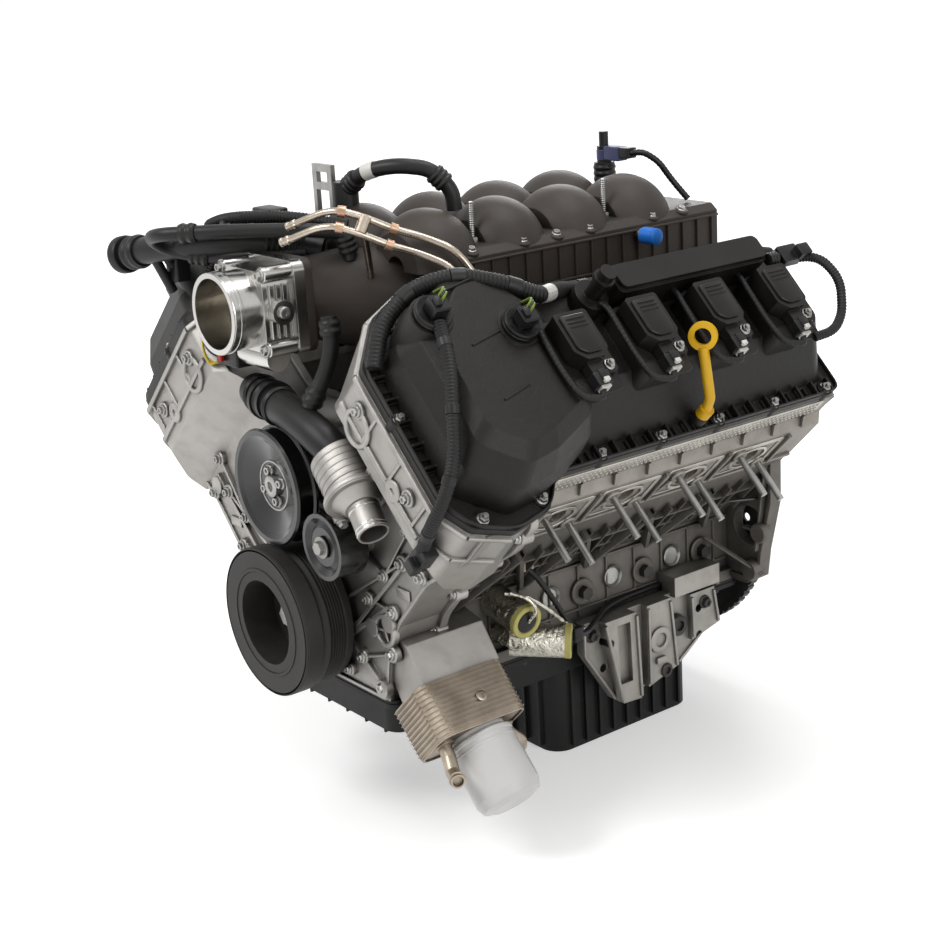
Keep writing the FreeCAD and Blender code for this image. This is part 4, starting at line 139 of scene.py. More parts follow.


# Finishes given a corner strength darken their corners and creases with painted shade.
LOOK = {
    "block": finish("cast_block", (0.150, 0.138, 0.124), 0.54, 0.75, 1300, 0.9, 17, 0.16, 0.0014,
                    dirt=(0.060, 0.054, 0.048, 0.35), painted_crease_shade=0.8),
    "cover_cast": finish("cast_front_cover", (0.36, 0.345, 0.325), 0.37, 0.92, 1500, 0.7, 11, 0.11, 0.0020,
                         dirt=(0.19, 0.18, 0.165, 0.30), painted_crease_shade=0.85),
    "head_cast": finish("cast_head", (0.27, 0.252, 0.225), 0.44, 0.88, 1400, 0.8, 15, 0.13, 0.0014,
                        dirt=(0.12, 0.105, 0.09, 0.35), painted_crease_shade=0.85),
    "bracket_cast": finish("cast_bracket", (0.33, 0.315, 0.29), 0.42, 0.88, 1400, 0.8, 13, 0.12, 0.0016,
                           dirt=(0.15, 0.14, 0.125, 0.30), painted_crease_shade=0.8),
    "machined": finish("machined_aluminium", (0.50, 0.49, 0.47), 0.20, 1, 240, 0.10, 7, 0.10, 0.0008,
                       streak=(1, 9, 9), painted_crease_shade=0.5),
    "steel": finish("bright_steel", (0.44, 0.43, 0.41), 0.28, 1, 900, 0.08, 30, 0.14, 0.0004),
    "zinc": finish("zinc_steel", (0.34, 0.335, 0.32), 0.34, 0.95, 700, 0.12, 45, 0.2, 0.0004, painted_crease_shade=0.4),
    "dark_steel": finish("dark_steel", (0.045, 0.042, 0.039), 0.40, 0.8, 700, 0.18, 30, 0.3, 0.0004),
    "damper_coat": finish("damper_coating", (0.021, 0.019, 0.018), 0.56, 0, 1100, 0.30, 22, 0.28, 0.0010, spec=0.3),
    "pulley_gloss": finish("pulley_black", (0.006, 0.006, 0.006), 0.22, 0, 300, 0.02, 9, 0.25, 0.0008, coat=0.3,
                           spec=0.35),
    "cover": finish("cover_plastic", (0.0105, 0.0090, 0.0082), 0.42, 0, 1800, 0.30, 10, 0.30, 0.0022, wrinkle=0.12,
                    spec=0.24),
    "coil": finish("coil_plastic", (0.0085, 0.0070, 0.0062), 0.36, 0, 900, 0.12, 18, 0.3, 0.0012, spec=0.26),
    "manifold": finish("manifold_plastic", (0.036, 0.0285, 0.0235), 0.50, 0, 2300, 0.35, 10, 0.22, 0.0018,
                       spec=0.28, painted_crease_shade=0.6),
    "pan": finish("pan_plastic", (0.0065, 0.0062, 0.0060), 0.48, 0, 800, 0.25, 12, 0.3, 0.0012, spec=0.25),
    "hose": finish("hose_rubber", (0.0075, 0.0072, 0.0070), 0.42, 0, 1400, 0.25, 30, 0.25, 0.0004, spec=0.30),
    "loom": finish("loom_conduit", (0.0065, 0.0062, 0.0060), 0.50, 0, 600, 0.6, 60, 0.35, 0.0004, spec=0.28),
    "tube_steel": finish("fuel_tube_steel", (0.40, 0.345, 0.285), 0.26, 1, 900, 0.05, 22, 0.22, 0.0004),
    "cooler": finish("brazed_plates", (0.37, 0.315, 0.25), 0.36, 0.95, 1100, 0.35, 22, 0.22, 0.0006,
                     dirt=(0.15, 0.11, 0.075, 0.4), painted_crease_shade=0.7),
    "filter_white": finish("filter_enamel", (0.64, 0.63, 0.62), 0.30, 0, 300, 0.02, 6, 0.03, 0.0014, coat=0.3,
                           spec=0.4),
    "foil": finish("foil_sleeve", (0.52, 0.50, 0.43), 0.24, 1, 150, 0.9, 50, 0.25, 0.0004, wrinkle=0.9),
    "yellow": finish("dipstick_yellow", (0.70, 0.40, 0.006), 0.36, 0, 500, 0.06, 15, 0.08, 0.0010, coat=0.1,
                     spec=0.35),
    "plate_brass": finish("throttle_plate", (0.34, 0.30, 0.235), 0.34, 1, 900, 0.08, 20, 0.14, 0.0004, painted_crease_shade=0.4),
    "copper": finish("copper_clip", (0.40, 0.26, 0.18), 0.34, 1, 700, 0.06, 25, 0.15, 0.0004),
    "blue": finish("blue_cap", (0.012, 0.135, 0.50), 0.40, 0, 600, 0.05, 20, 0.1, 0.0008, spec=0.3),
    "plug_black": finish("plug_black", (0.008, 0.008, 0.008), 0.38, 0, 700, 0.1, 30, 0.25, 0.0008, spec=0.28),
    "plug_white": finish("plug_white", (0.60, 0.585, 0.55), 0.42, 0, 700, 0.06, 30, 0.06, 0.0006),
    "plug_red": finish("plug_red", (0.36, 0.014, 0.008), 0.42, 0, 700, 0.06, 30, 0.1, 0.0005, spec=0.3),
    "plug_violet": finish("sensor_violet", (0.05, 0.055, 0.13), 0.40, 0, 700, 0.06, 30, 0.12, 0.0006, spec=0.3),
    "wire_green": finish("wire_green", (0.15, 0.22, 0.02), 0.45, 0, 700, 0.05, 30, 0.12, 0.0003, spec=0.3),
    "wire_yellow": finish("wire_yellow", (0.55, 0.38, 0.02), 0.45, 0, 700, 0.05, 30, 0.12, 0.0003, spec=0.3),
    "sleeve_end": finish("sleeve_end_yellow", (0.50, 0.46, 0.15), 0.45, 0, 700, 0.05, 30, 0.12, 0.0005, spec=0.3),
    "beige": finish("beige_block", (0.36, 0.305, 0.225), 0.50, 0, 700, 0.12, 30, 0.12, 0.0008),
    "drive_plate": finish("drive_plate", (0.035, 0.034, 0.033), 0.44, 0.7, 700, 0.15, 18, 0.25, 0.0008),
    "gasket": finish("gasket_steel", (0.46, 0.44, 0.40), 0.32, 0.95, 420, 0.5, 26, 0.16, 0.0003, painted_crease_shade=0.7),
}

SHOWN_AS = {
    "cylinder_block": "block", "left_cylinder_head": "head_cast", "right_cylinder_head": "head_cast",
    "timing_cover": "cover_cast", "water_pump": "cover_cast", "thermostat_housing": "cover_cast",
    "mount_brackets": "bracket_cast", "filter_adapter": "cover_cast", "throttle_body": "machined",
    "throttle_plate": "plate_brass", "main_cap_bolts": "dark_steel", "main_bearing_caps": "damper_coat",
    "chain_guides": "coil", "exhaust_studs": "zinc", "head_gaskets": "gasket", "flexplate": "drive_plate",
    "damper_hub": "damper_coat", "damper_ring": "damper_coat", "damper_rubber": "hose", "coolant_elbow": "hose",
    "vent_hoses": "hose", "water_pump_pulley": "pulley_gloss", "idler_pulley": "pulley_gloss",
    "left_cam_cover": "cover", "right_cam_cover": "cover", "ignition_coils": "coil", "oil_separator": "coil",
    "oil_filler_cap": "cover", "engine_sensors": "plug_black", "wiring_harness": "loom", "oil_pan": "pan",
    "intake_manifold": "manifold", "fuel_rails": "tube_steel", "fuel_tubes": "tube_steel",
    "lifting_bracket": "zinc", "oil_cooler": "cooler", "oil_filter": "filter_white", "sensor_sleeves": "foil",
    "dipstick": "yellow",
}
for node, obj in NODES.items():
    obj.data.materials.clear()
    obj.data.materials.append(LOOK[SHOWN_AS.get(node, "steel")])


# Places and directions

def bank(h, w, y, side="left"):
    """Bank place as an engine point: x = (h + w) / sqrt 2, z = (h - w) / sqrt 2, x turned over for the right."""
    x = (h + w) * S
    return np.array([x if side == "left" else -x, y, (h - w) * S])


def unit(v):
    """Direction v / |v|."""
    v = np.asarray(v, float)
    return v / np.linalg.norm(v)


def square_to(along):
    """Two unit directions square to along, and along itself."""
    d = unit(along)
    a = unit(np.cross(d, [0, 0, 1] if abs(d[2]) < 0.9 else [1, 0, 0]))
    return a, np.cross(d, a), d


def bank_axes(side="left"):
    """The w, y and h directions of a bank."""
    s = 1 if side == "left" else -1
    return np.array([s * S, 0, -S]), np.array([0, 1, 0]), np.array([s * S, 0, S])


LEFT, BACK, UP = np.eye(3)
FRONT, DOWN = np.array([[0.0, -1, 0], [0, 0, -1]])
FACING_FRONT = (LEFT, UP, FRONT)
FACING_LEFT = (BACK, UP, LEFT)
UPRIGHT = (LEFT, BACK, UP)


# Surfaces

def rounded(outline, radius, steps=4):
    """Corner P becomes the curve (1-s)^2 A + 2s(1-s) P + s^2 B, with A and B on its two sides a radius away."""
    p = np.asarray(outline, float)
    back = np.roll(p, 1, 0) - p
    ahead = np.roll(p, -1, 0) - p
    lb = np.linalg.norm(back, axis=1, keepdims=True)
    la = np.linalg.norm(ahead, axis=1, keepdims=True)
    reach = np.minimum(radius, 0.45 * np.minimum(lb, la))
    a = (p + back / lb * reach)[:, None, :]
    b = (p + ahead / la * reach)[:, None, :]
    s = np.linspace(0, 1, steps + 1)[None, :, None]
    return ((1 - s) ** 2 * a + 2 * s * (1 - s) * p[:, None, :] + s ** 2 * b).reshape(-1, 2)


def shrunk(outline, inset):
    """Outline moved inwards: P + inset (n1 + n2) / (1 + n1.n2), with n1 and n2 the inward normals of P's sides."""
    p = np.asarray(outline, float)
    step = np.roll(p, -1, 0) - p
    step = step / np.maximum(np.linalg.norm(step, axis=1, keepdims=True), 1e-9)
    area = np.sum(p[:, 0] * np.roll(p[:, 1], -1) - np.roll(p[:, 0], -1) * p[:, 1])
    n2 = np.stack([-step[:, 1], step[:, 0]], 1) * (1 if area > 0 else -1)
    n1 = np.roll(n2, 1, 0)
    dot = np.sum(n1 * n2, 1, keepdims=True)
    return p + inset * (n1 + n2) / np.maximum(1 + dot, 0.35)


def route(points, step=2):
    """Straight runs whose corners are the curves (1-s)^2 A + 2s(1-s) P + s^2 B, read off at even lengths."""
    p = np.asarray(points, float)
    if len(p) > 2:
        back = p[:-2] - p[1:-1]
        ahead = p[2:] - p[1:-1]
        lb = np.linalg.norm(back, axis=1, keepdims=True)
        la = np.linalg.norm(ahead, axis=1, keepdims=True)
        reach = 0.45 * np.minimum(lb, la)
        a = (p[1:-1] + back / lb * reach)[:, None, :]
        b = (p[1:-1] + ahead / la * reach)[:, None, :]
        s = np.linspace(0, 1, 13)[None, :, None]
        bends = (1 - s) ** 2 * a + 2 * s * (1 - s) * p[1:-1][:, None, :] + s ** 2 * b
        p = np.vstack([p[:1], bends.reshape(-1, 3), p[-1:]])
    length = np.concatenate([[0], np.cumsum(np.linalg.norm(np.diff(p, axis=0), axis=1))])
    at = np.linspace(0, length[-1], max(3, int(length[-1] / step) + 1))
    return np.stack([np.interp(at, length, p[:, k]) for k in range(3)], 1), at


class Piece:
    """Mesh of one piece, gathered from surfaces in millimetres."""

    def __init__(self):
        self.points = []
        self.faces = []
        self.count = 0

    def grid(self, p, shut="ends"):
        """Rings of points: quads join each ring to the next. The end rings are shut by faces, and with "round" the
        last ring joins the first."""
        rows, cols = p.shape[:2]
        i, k = np.meshgrid(np.arange(rows if shut == "round" else rows - 1), np.arange(cols), indexing="ij")
        j = (i + 1) % rows
        n = (k + 1) % cols
        quads = np.stack([i * cols + k, i * cols + n, j * cols + n, j * cols + k], -1).reshape(-1, 4)
        self.faces += (quads + self.count).tolist()
        if shut == "ends":
            self.faces.append((np.arange(cols)[::-1] + self.count).tolist())
            self.faces.append((np.arange(cols) + (rows - 1) * cols + self.count).tolist())
        self.points.append(p.reshape(-1, 3))
        self.count += rows * cols

    def turned(self, profile, seat, along, sides=24, shut="ends"):
        """Point (t, i) = seat + h_i along + r_i (cos t a + sin t b), for the profile's (r, h) pairs."""
        a, b, d = square_to(along)
        t = np.arange(sides) * 2 * np.pi / sides
        around = np.cos(t)[:, None] * a + np.sin(t)[:, None] * b
        r, h = np.asarray(profile, float).T
        self.grid(np.asarray(seat, float) + h[:, None, None] * d + r[:, None, None] * around[None], shut)

    def slab(self, outline, low, high, origin, axes, chamfer=1, corner=0):
        """Outline carried up its height, drawn in by a chamfer at both ends."""
        if corner:
            outline = rounded(outline, corner)
        levels = [(low, chamfer), (low + chamfer, 0), (high - chamfer, 0), (high - 0.3 * chamfer, 0.6 * chamfer),
                  (high, chamfer * 1.4)]
        rings = [(shrunk(outline, inset), h) for h, inset in levels]
        u, v, up = axes
        p = np.array([o[:, :1] * u + o[:, 1:] * v + h * up for o, h in rings])
        self.grid(p + np.asarray(origin, float))

    def band(self, outline, outside, inside, low, high, origin, axes):
        """Wall that follows an outline, between two insets and two heights."""
        u, v, up = axes
        rings = [(outside, low), (outside, high - 0.6), (outside + 0.6, high), (inside - 0.6, high),
                 (inside, high - 0.6), (inside, low)]
        p = [shrunk(outline, inset) for inset, h in rings]
        p = np.array([o[:, :1] * u + o[:, 1:] * v + h * up for o, (i, h) in zip(p, rings)])
        self.grid(p + np.asarray(origin, float), "round")

    def block(self, centre, size, axes=UPRIGHT, chamfer=0.8, corner=1.5):
        """Chamfered box: the rectangle x by y, carried from z / 2 below its centre to z / 2 above."""
        x, y, z = (s / 2 for s in size)
        self.slab([(-x, -y), (x, -y), (x, y), (-x, y)], -z, z, centre, axes, chamfer, corner)

    def rib(self, start, end, up, width=3, height=6):
        """Upright web between two points, drawn in towards its top."""
        s = np.asarray(start, float)
        e = np.asarray(end, float)
        up = unit(up)
        run = unit(e - s)
        side = np.cross(up, run) * width / 2
        p = np.array([[s - side - up, s + side - up, e + side - up, e - side - up],
                      [s - side * 0.85 + up * (height - 0.6), s + side * 0.85 + up * (height - 0.6),
                       e + side * 0.85 + up * (height - 0.6), e - side * 0.85 + up * (height - 0.6)],
                      [s - side * 0.5 + up * height, s + side * 0.5 + up * height,
                       e + side * 0.5 + up * height, e - side * 0.5 + up * height]])
        self.grid(p)

    def tube(self, points, radius, sides=12, wave=0, pitch=4, step=2):
        """Circle carried along a route. Its radius is r + wave (1 + cos(2 pi s / pitch)) / 2 at length s."""
        c, s = route(points, step)
        d = np.gradient(c, axis=0)
        d /= np.linalg.norm(d, axis=1, keepdims=True)
        ref = np.eye(3)[np.argmin(np.abs(d).max(0))]
        a = np.cross(d, ref)
        a /= np.linalg.norm(a, axis=1, keepdims=True)
        b = np.cross(d, a)
        r = radius + wave * 0.5 * (1 + np.cos(2 * np.pi * s / pitch))
        t = np.arange(sides) * 2 * np.pi / sides
        around = np.cos(t)[None, :, None] * a[:, None] + np.sin(t)[None, :, None] * b[:, None]
        self.grid(c[:, None] + r[:, None, None] * around)

    def bolt(self, seat, along, flats=10, stud=0):
        """Flanged hexagon bolt with a dished head, and a threaded stud on top where it has one."""
        wide = flats * 0.74
        hexa = flats * 0.577
        self.turned([(wide, -0.5), (wide, 1), (wide * 0.94, 1.8), (hexa * 0.95, 2.4)], seat, along, 20)
        self.turned([(hexa, 2), (hexa, flats * 0.5), (hexa * 0.88, flats * 0.62), (hexa * 0.5, flats * 0.62),
                     (hexa * 0.42, flats * 0.5)], seat, along, 6)
        if stud:
            turns = np.arange(0, stud - flats * 0.5, 1.25)
            thread = [(2.9 - 0.45 * (i % 2), flats * 0.5 + h) for i, h in enumerate(turns)]
            self.turned(thread, seat, along, 10)

    def ridged(self, seat, along, radius, length, rings, rise=0.8):
        """Sleeve whose radius swells in rounded rings: r + rise (1 - cos(2 pi n x)) / 2 over its length."""
        x = np.linspace(0, 1, rings * 8 + 1)
        r = radius + rise * 0.5 * (1 - np.cos(2 * np.pi * rings * x))
        profile = np.vstack([[radius - 1, 0], np.stack([r, x * length], 1), [radius - 1, length]])
        self.turned(profile, seat, along, 28)

    def done(self, name, look, body="engine", slot=None):
        """Mesh in metres from the gathered points, with a sharp edge where two faces meet at 38 degrees or more."""
        mesh = bpy.data.meshes.new(name)
        mesh.from_pydata((np.vstack(self.points) * 0.001).tolist(), [], self.faces)
        bm = bmesh.new()
        bm.from_mesh(mesh)
        bmesh.ops.recalc_face_normals(bm, faces=bm.faces)
        for edge in bm.edges:
            edge.smooth = len(edge.link_faces) == 2 and edge.calc_face_angle(0) < math.radians(38)
        for face in bm.faces:
            face.smooth = True
        bm.to_mesh(mesh)
        bm.free()
        mesh.materials.append(LOOK[look])
        obj = bpy.data.objects.new(name, mesh)
        bpy.context.scene.collection.objects.link(obj)
        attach(obj, body)
        return obj


def cuff(piece, points, start, length, radius, rings=0, rise=0.8):
    """Sleeve round a hose: the stretch of its route from start on, as a wider circle with rounded ends."""
    c, s = route(points, 1)
    part = c[(s >= start) & (s <= start + length)]
    d = unit(part[-1] - part[0])
    if rings:
        piece.ridged(part[0], d, radius, np.linalg.norm(part[-1] - part[0]), rings, rise)
        return
    piece.tube(part, radius, 20, step=1.5)


def flange_outline():
    """Edge of a cam cover where it meets the head and the front cover, as (w, y) points."""
    return [(head_outer, head_rear), (head_outer, -448), (112, -476), (chest_outer, -528), (108, -574),
            (76, chest_face), (-96, chest_face), (-152, -552), (-chest_inner, -500), (-chest_inner + 2, -440),
            (-146, -402), (-head_inner, -388), (-head_inner, head_rear)]


# Cam covers: rim, bolts, coil leads

def cover_bolt_places():
    """Bolts along both edges of the head, and round the chest, as (w, y) points."""
    places = [(71, y) for y in (-30, -118, -206, -294, -382)]
    places += [(-105, y) for y in (-30, -118, -206, -294, -372)]
    return places + [(100, -482), (102, -560), (-28, -589), (-138, -540), (-165, -436)]


def cover_rim(side):
    """Wall that follows the flange 0.6 to 3 mm inside its edge, the flange's flat top, webs 14 mm apart along the
    outer and the front edge, and a turned seat under each bolt."""
    rim = Piece()
    axes = bank_axes(side)
    edge = rounded(flange_outline(), 14)
    rim.band(edge, 0.6, 3, cover_seat - 1, cover_seat + 6.5, (0, 0, 0), axes)
    rim.band(edge, 2.4, 26, cover_seat - 1.6, cover_seat + 0.7, (0, 0, 0), axes)
    up = axes[2]
    for i in range(30):
        y = -22 - i * 14
        rim.rib(bank(cover_seat, 64, y, side), bank(cover_seat, 76.5, y, side), up, 1.8, 6)
    for i in range(12):
        w = 66 - i * 14
        rim.rib(bank(cover_seat, w, -594, side), bank(cover_seat, w, -578, side), up, 1.8, 6)
    for w, y in cover_bolt_places():
        rim.turned([(9.6, -1), (9.6, 3.4), (8.6, 4.2), (8, 4.2), (8, 2.4)], bank(cover_seat, w, y, side), up, 24)
    rim.done(side + "_cover_rim", "cover", slot="black_plastic")


def cover_bolts(side):
    """Studded bolts on the flange's seats, and one beside each coil."""
    bolts = Piece()
    up = bank_axes(side)[2]
    for w, y in cover_bolt_places():
        bolts.bolt(bank(cover_seat + 2.4, w, y, side), up, 10, 11)
    for y in BORES[side]:
        bolts.bolt(bank(cover_crown + 8, 13, y + 22, side), up, 9, 9)
    bolts.done(side + "_cover_bolts", "zinc", slot="steel")


def coil_dress(side):
    """Raised lid and three cooling ribs on each coil, its plug with a pale lock, and a ribbed lead that runs round
    the coil back to the loom. Every place is counted from the cover's top and the coil's bore."""
    axes = bank_axes(side)
    lids, plugs, locks, leads = Piece(), Piece(), Piece(), Piece()
    top = cover_crown + 22
    for y in BORES[side]:
        def at(h, w, dy=0):
            return bank(cover_crown + h, w, y + dy, side)

        lids.slab([(-46, y - 17), (-6, y - 17), (2, y - 8), (2, y + 12), (-6, y + 17), (-46, y + 17)], top - 1, top + 3,
                  (0, 0, 0), axes, 1.2, 4)
        for w in (-40, -35, -30):
            lids.rib(at(25, w, -12), at(25, w, 12), axes[2], 1.6, 1.4)
        plugs.block(at(8.5, 28), (16, 20, 15), axes, 1, 2)
        plugs.block(at(16.5, 26), (14, 8, 4), axes, 0.8, 1.5)
        locks.block(at(8, 37.5), (4, 13, 10), axes, 0.6, 1.2)
        locks.block(at(17.5, 33), (5, 7, 5), axes, 0.5, 1)
        leads.tube([at(7, 38, -2), at(8, 48, -8), at(6, 40, -32), at(5, 8, -35), at(6, -56, -33), at(-8, -74, -31)],
                   3.2, 12, 0.7, 3.2)
    lids.done(side + "_coil_lids", "coil", slot="black_plastic")
    plugs.done(side + "_coil_plugs", "plug_black", slot="black_plastic")
    locks.done(side + "_coil_plug_locks", "plug_white")
    leads.done(side + "_coil_leads", "loom", slot="black_plastic")


def cover_panels(side):
    """Soft pads beside each coil, as chamfered slabs 3.8 mm deep, and three webs that slope over the chest."""
    webs = Piece()
    axes = bank_axes(side)
    for y in BORES[side]:
        webs.slab([(14, y - 24), (40, y - 24), (40, y + 32), (14, y + 34)], cover_crown - 3,
                  cover_crown + 0.8, (0, 0, 0), axes, 1.2, 8)
    for k, w in enumerate((-128, -60, 8)):
        webs.rib(bank(cover_crown - 1, w, -470 - 6 * k, side), bank(cover_crown - 1, w + 10, -520, side),
                 axes[2], 3, 2.4)
    webs.done(side + "_cover_pads", "cover", slot="black_plastic")


for side in ("left", "right"):
    cover_rim(side)
    cover_bolts(side)
    coil_dress(side)
    cover_panels(side)


def solenoid_dress():
    """At each cam solenoid a sleeve with two rounded rings, a plug with its lock, and three wires 3 mm apart that
    rise out of it and bend down to the cover."""
    rings, greens, blacks = Piece(), Piece(), Piece()
    for side in ("left", "right"):
        axes = bank_axes(side)
        for w, y in ((-92, -548), (-58, BORES[side][3] - 50)):
            def at(h, dw=0, dy=0):
                return bank(cover_crown + h, w + dw, y + dy, side)

            rings.ridged(at(2), axes[2], 19.6, 9, 2, 1)
            rings.block(at(19), (20, 20, 13), axes, 1.2, 3)
            rings.block(at(27, 0, -4), (10, 8, 6), axes, 0.8, 1.5)
            for d, piece in ((-3, greens), (0, blacks), (3, greens)):
                piece.tube([at(24, d - 4, 2), at(30, d - 6, 5), at(27, d - 12, 12), at(12, d - 20, 20),
                            at(-2, d - 26, 22)], 1.5, 8)
    rings.done("solenoid_plugs", "plug_black", slot="black_plastic")
    greens.done("solenoid_wires", "wire_green")
    blacks.done("solenoid_leads", "plug_black", slot="black_plastic")


solenoid_dress()


# Front cover: flange lips, ribs, bosses and bolts

def front_outline():
    """Edge of the front cover as (x, z) points: its left half, and the same points turned over."""
    half = [(0, 236), (74, 236), (106, 263), (168, 325), (330, 164), (295, 128),
            (222, 83), (164, 20), (140, -30), (132, -80), (0, -80)]
    return half + [(-x, z) for x, z in half[::-1][1:-1]]


def front_cover_dress():
    """Lips along each chest's edge and webs over its front, rings and bosses as turned profiles, webs between
    pairs of (x, z) points on the flat face, and screws about 46 mm apart on a band that follows the outline."""
    cast, screws = Piece(), Piece()
    for side in ("left", "right"):
        up = bank_axes(side)[2]
        edge = flange_outline()[3:10]
        for (w0, y0), (w1, y1) in zip(edge[:-1], edge[1:]):
            out = np.cross(bank(0, w1 - w0, y1 - y0, side), up)
            out = out if out[1] < 0 or abs(out[1]) < 1e-6 else -out
            # Inside w = -128 the chest's lower wall is cut away, so the lower lip ends there
            lips = ((345, 4.5), (300, 3.2)) if w1 > -128 else ((345, 4.5),)
            for h, tall in lips:
                cast.rib(bank(h, w0, y0, side), bank(h, w1, y1, side), out, 7, tall)
        for w in (-46, 8, 62):
            cast.rib(bank(300, w, chest_face, side), bank(346, w, chest_face, side), FRONT, 5, 2.6)
        for w, h in ((-70, 322), (40, 322)):
            cast.turned([(10, -1), (10, 3), (9, 4)], bank(h, w, chest_face, side), FRONT, 24)
            screws.bolt(bank(h, w, chest_face - 4, side), FRONT, 9)
        cast.turned([(23, -1), (23, 2.6), (21.6, 4.2), (17.6, 4.2), (16.4, 2.6), (16.4, 0.3)],
                    bank(304, -60, chest_face, side), FRONT, 36)
        cast.turned([(13, -1), (13, 2.2), (11.8, 3.4), (4, 3.4), (3.2, 1)], bank(304, 20, chest_face, side),
                    FRONT, 28)
        for w0, w1 in ((-36, 6), (34, 62)):
            cast.rib(bank(304, w0, chest_face, side), bank(304, w1, chest_face, side), FRONT, 4, 3)
        s = 1 if side == "left" else -1
        for x, z, r in ((182, 100, 10), (112, 40, 9), (92, -36, 9), (150, -16, 10), (158, 36, 9), (216, 92, 9),
                        (128, -62, 9), (62, -60, 8), (196, 140, 9), (146, 76, 8), (78, 108, 9)):
            cast.turned([(r, -2), (r, 5), (r - 1.2, 6.5)], (s * x, cover_face, z), FRONT, 22)
            screws.bolt((s * x, cover_face - 6.5, z), FRONT, 8 if r < 9 else 9)
        for a, b in (((62, 0), (140, 10)), ((60, -20), (128, -62)), ((58, 24), (182, 100)), ((112, 40), (158, 36)),
                     ((92, -36), (150, -16)), ((140, 10), (150, -16)), ((182, 100), (216, 92)), ((146, 76), (196, 140)),
                     ((78, 108), (146, 76)), ((40, 60), (78, 108)), ((30, -62), (62, -60))):
            cast.rib((s * a[0], cover_face, a[1]), (s * b[0], cover_face, b[1]), FRONT, 4, 5.5)
        cast.turned([(20, -1), (20, 6), (18.5, 7.5), (14.5, 7.5), (13.5, 6), (13.5, 0.4)],
                    (s * 140, cover_face, 10), FRONT, 32)
        cast.slab([(-12, -6), (12, -6), (12, 6), (-12, 6)], -1, 2.5, (s * 176, cover_face, 62), FACING_FRONT, 0.8, 2)
    corners = front_outline()
    outline = rounded(corners, 8)
    cast.band(outline, -5, 6, -block_face, 10 - block_face, (0, 0, 0), FACING_FRONT)
    cast.band(outline, 0.4, 5, -1 - cover_face, 3 - cover_face, (0, 0, 0), FACING_FRONT)
    for (x0, z0), (x1, z1) in zip(corners, corners[1:] + corners[:1]):
        if max(z0, z1) > 165 and abs(x0) < 200:
            continue
        n = max(1, int(math.hypot(x1 - x0, z1 - z0) / 46))
        for k in range(n):
            x = x0 + (x1 - x0) * (k + 0.5) / n
            z = z0 + (z1 - z0) * (k + 0.5) / n
            cast.turned([(9, -2), (9, 12), (8, 13)], (x, block_face, z), FRONT, 20)
            screws.bolt((x, block_face - 13, z), FRONT, 9)
    cast.done("front_cover_webs", "cover_cast", slot="cast_aluminium")
    screws.done("front_cover_screws", "zinc", slot="steel")


front_cover_dress()


# Block and heads

def block_dress():
    """Crossed webs on the sloped walls, every 25 mm at y = -30 - 25 k, and on the skirts every 46 mm. Turned rings
    and core plugs stand one bore pitch apart, and the pan's screws below the skirt's webs."""
    webs, screws, plugs = Piece(), Piece(), Piece()
    for s in (-1, 1):
        out = np.array([s * S, 0, -S])
        for k in range(19):
            y = -30 - k * 25
            webs.rib((s * 150, y, 31), (s * 196, y, 77), out, 3, 6.5 if k % 2 else 10)
        for x, z, tall in ((160, 41, 6), (182, 63, 8)):
            webs.rib((s * x, -480, z), (s * x, -18, z), out, 3, tall)
        for z, tall in ((6, 3), (-52, 2.5)):
            webs.rib((s * skirt_half, -484, z), (s * skirt_half, -18, z), (s, 0, 0), 4, tall)
        for k in range(10):
            y = -40 - k * 46
            webs.rib((s * skirt_half, y, -62), (s * skirt_half, y, 8), (s, 0, 0), 3, 3)
            webs.turned([(7.5, -2), (7.5, 12), (6.5, 13)], (s * (skirt_half + 3.5), y, -79.5), UP, 18)
            screws.bolt((s * (skirt_half + 3.5), y, -90), DOWN, 8)
        for y in (-65, -165, -265, -365, -465):
            webs.turned([(17, -1), (17, 2.4), (15.6, 3.6), (12, 3.6)], (s * (skirt_half + 1.5), y, -30), (s, 0, 0), 28)
        for y in (-115, -215, -315):
            plugs.turned([(14, -1), (14, 3.4), (13, 4.4), (11.6, 3), (10.4, 0.6), (0.5, 0.2)],
                         (s * (skirt_half + 0.5), y, -24), (s, 0, 0), 28)
        webs.rib((s * 188, bell_face, -28), (s * 206, bell_face, 98), FRONT, 4, 9)
        for z0, z1 in ((-60, -20), (40, 60)):
            webs.rib((s * (190 - z0 * 0.1), bell_face, z0), (s * (140 + z1 * 0.1), -60, z1 * 0.6), (0, -S, 0), 4, 5)
    webs.done("block_webs", "block", slot="cast_aluminium")
    screws.done("pan_screws", "dark_steel", slot="steel")
    plugs.done("core_plugs", "zinc", slot="steel")


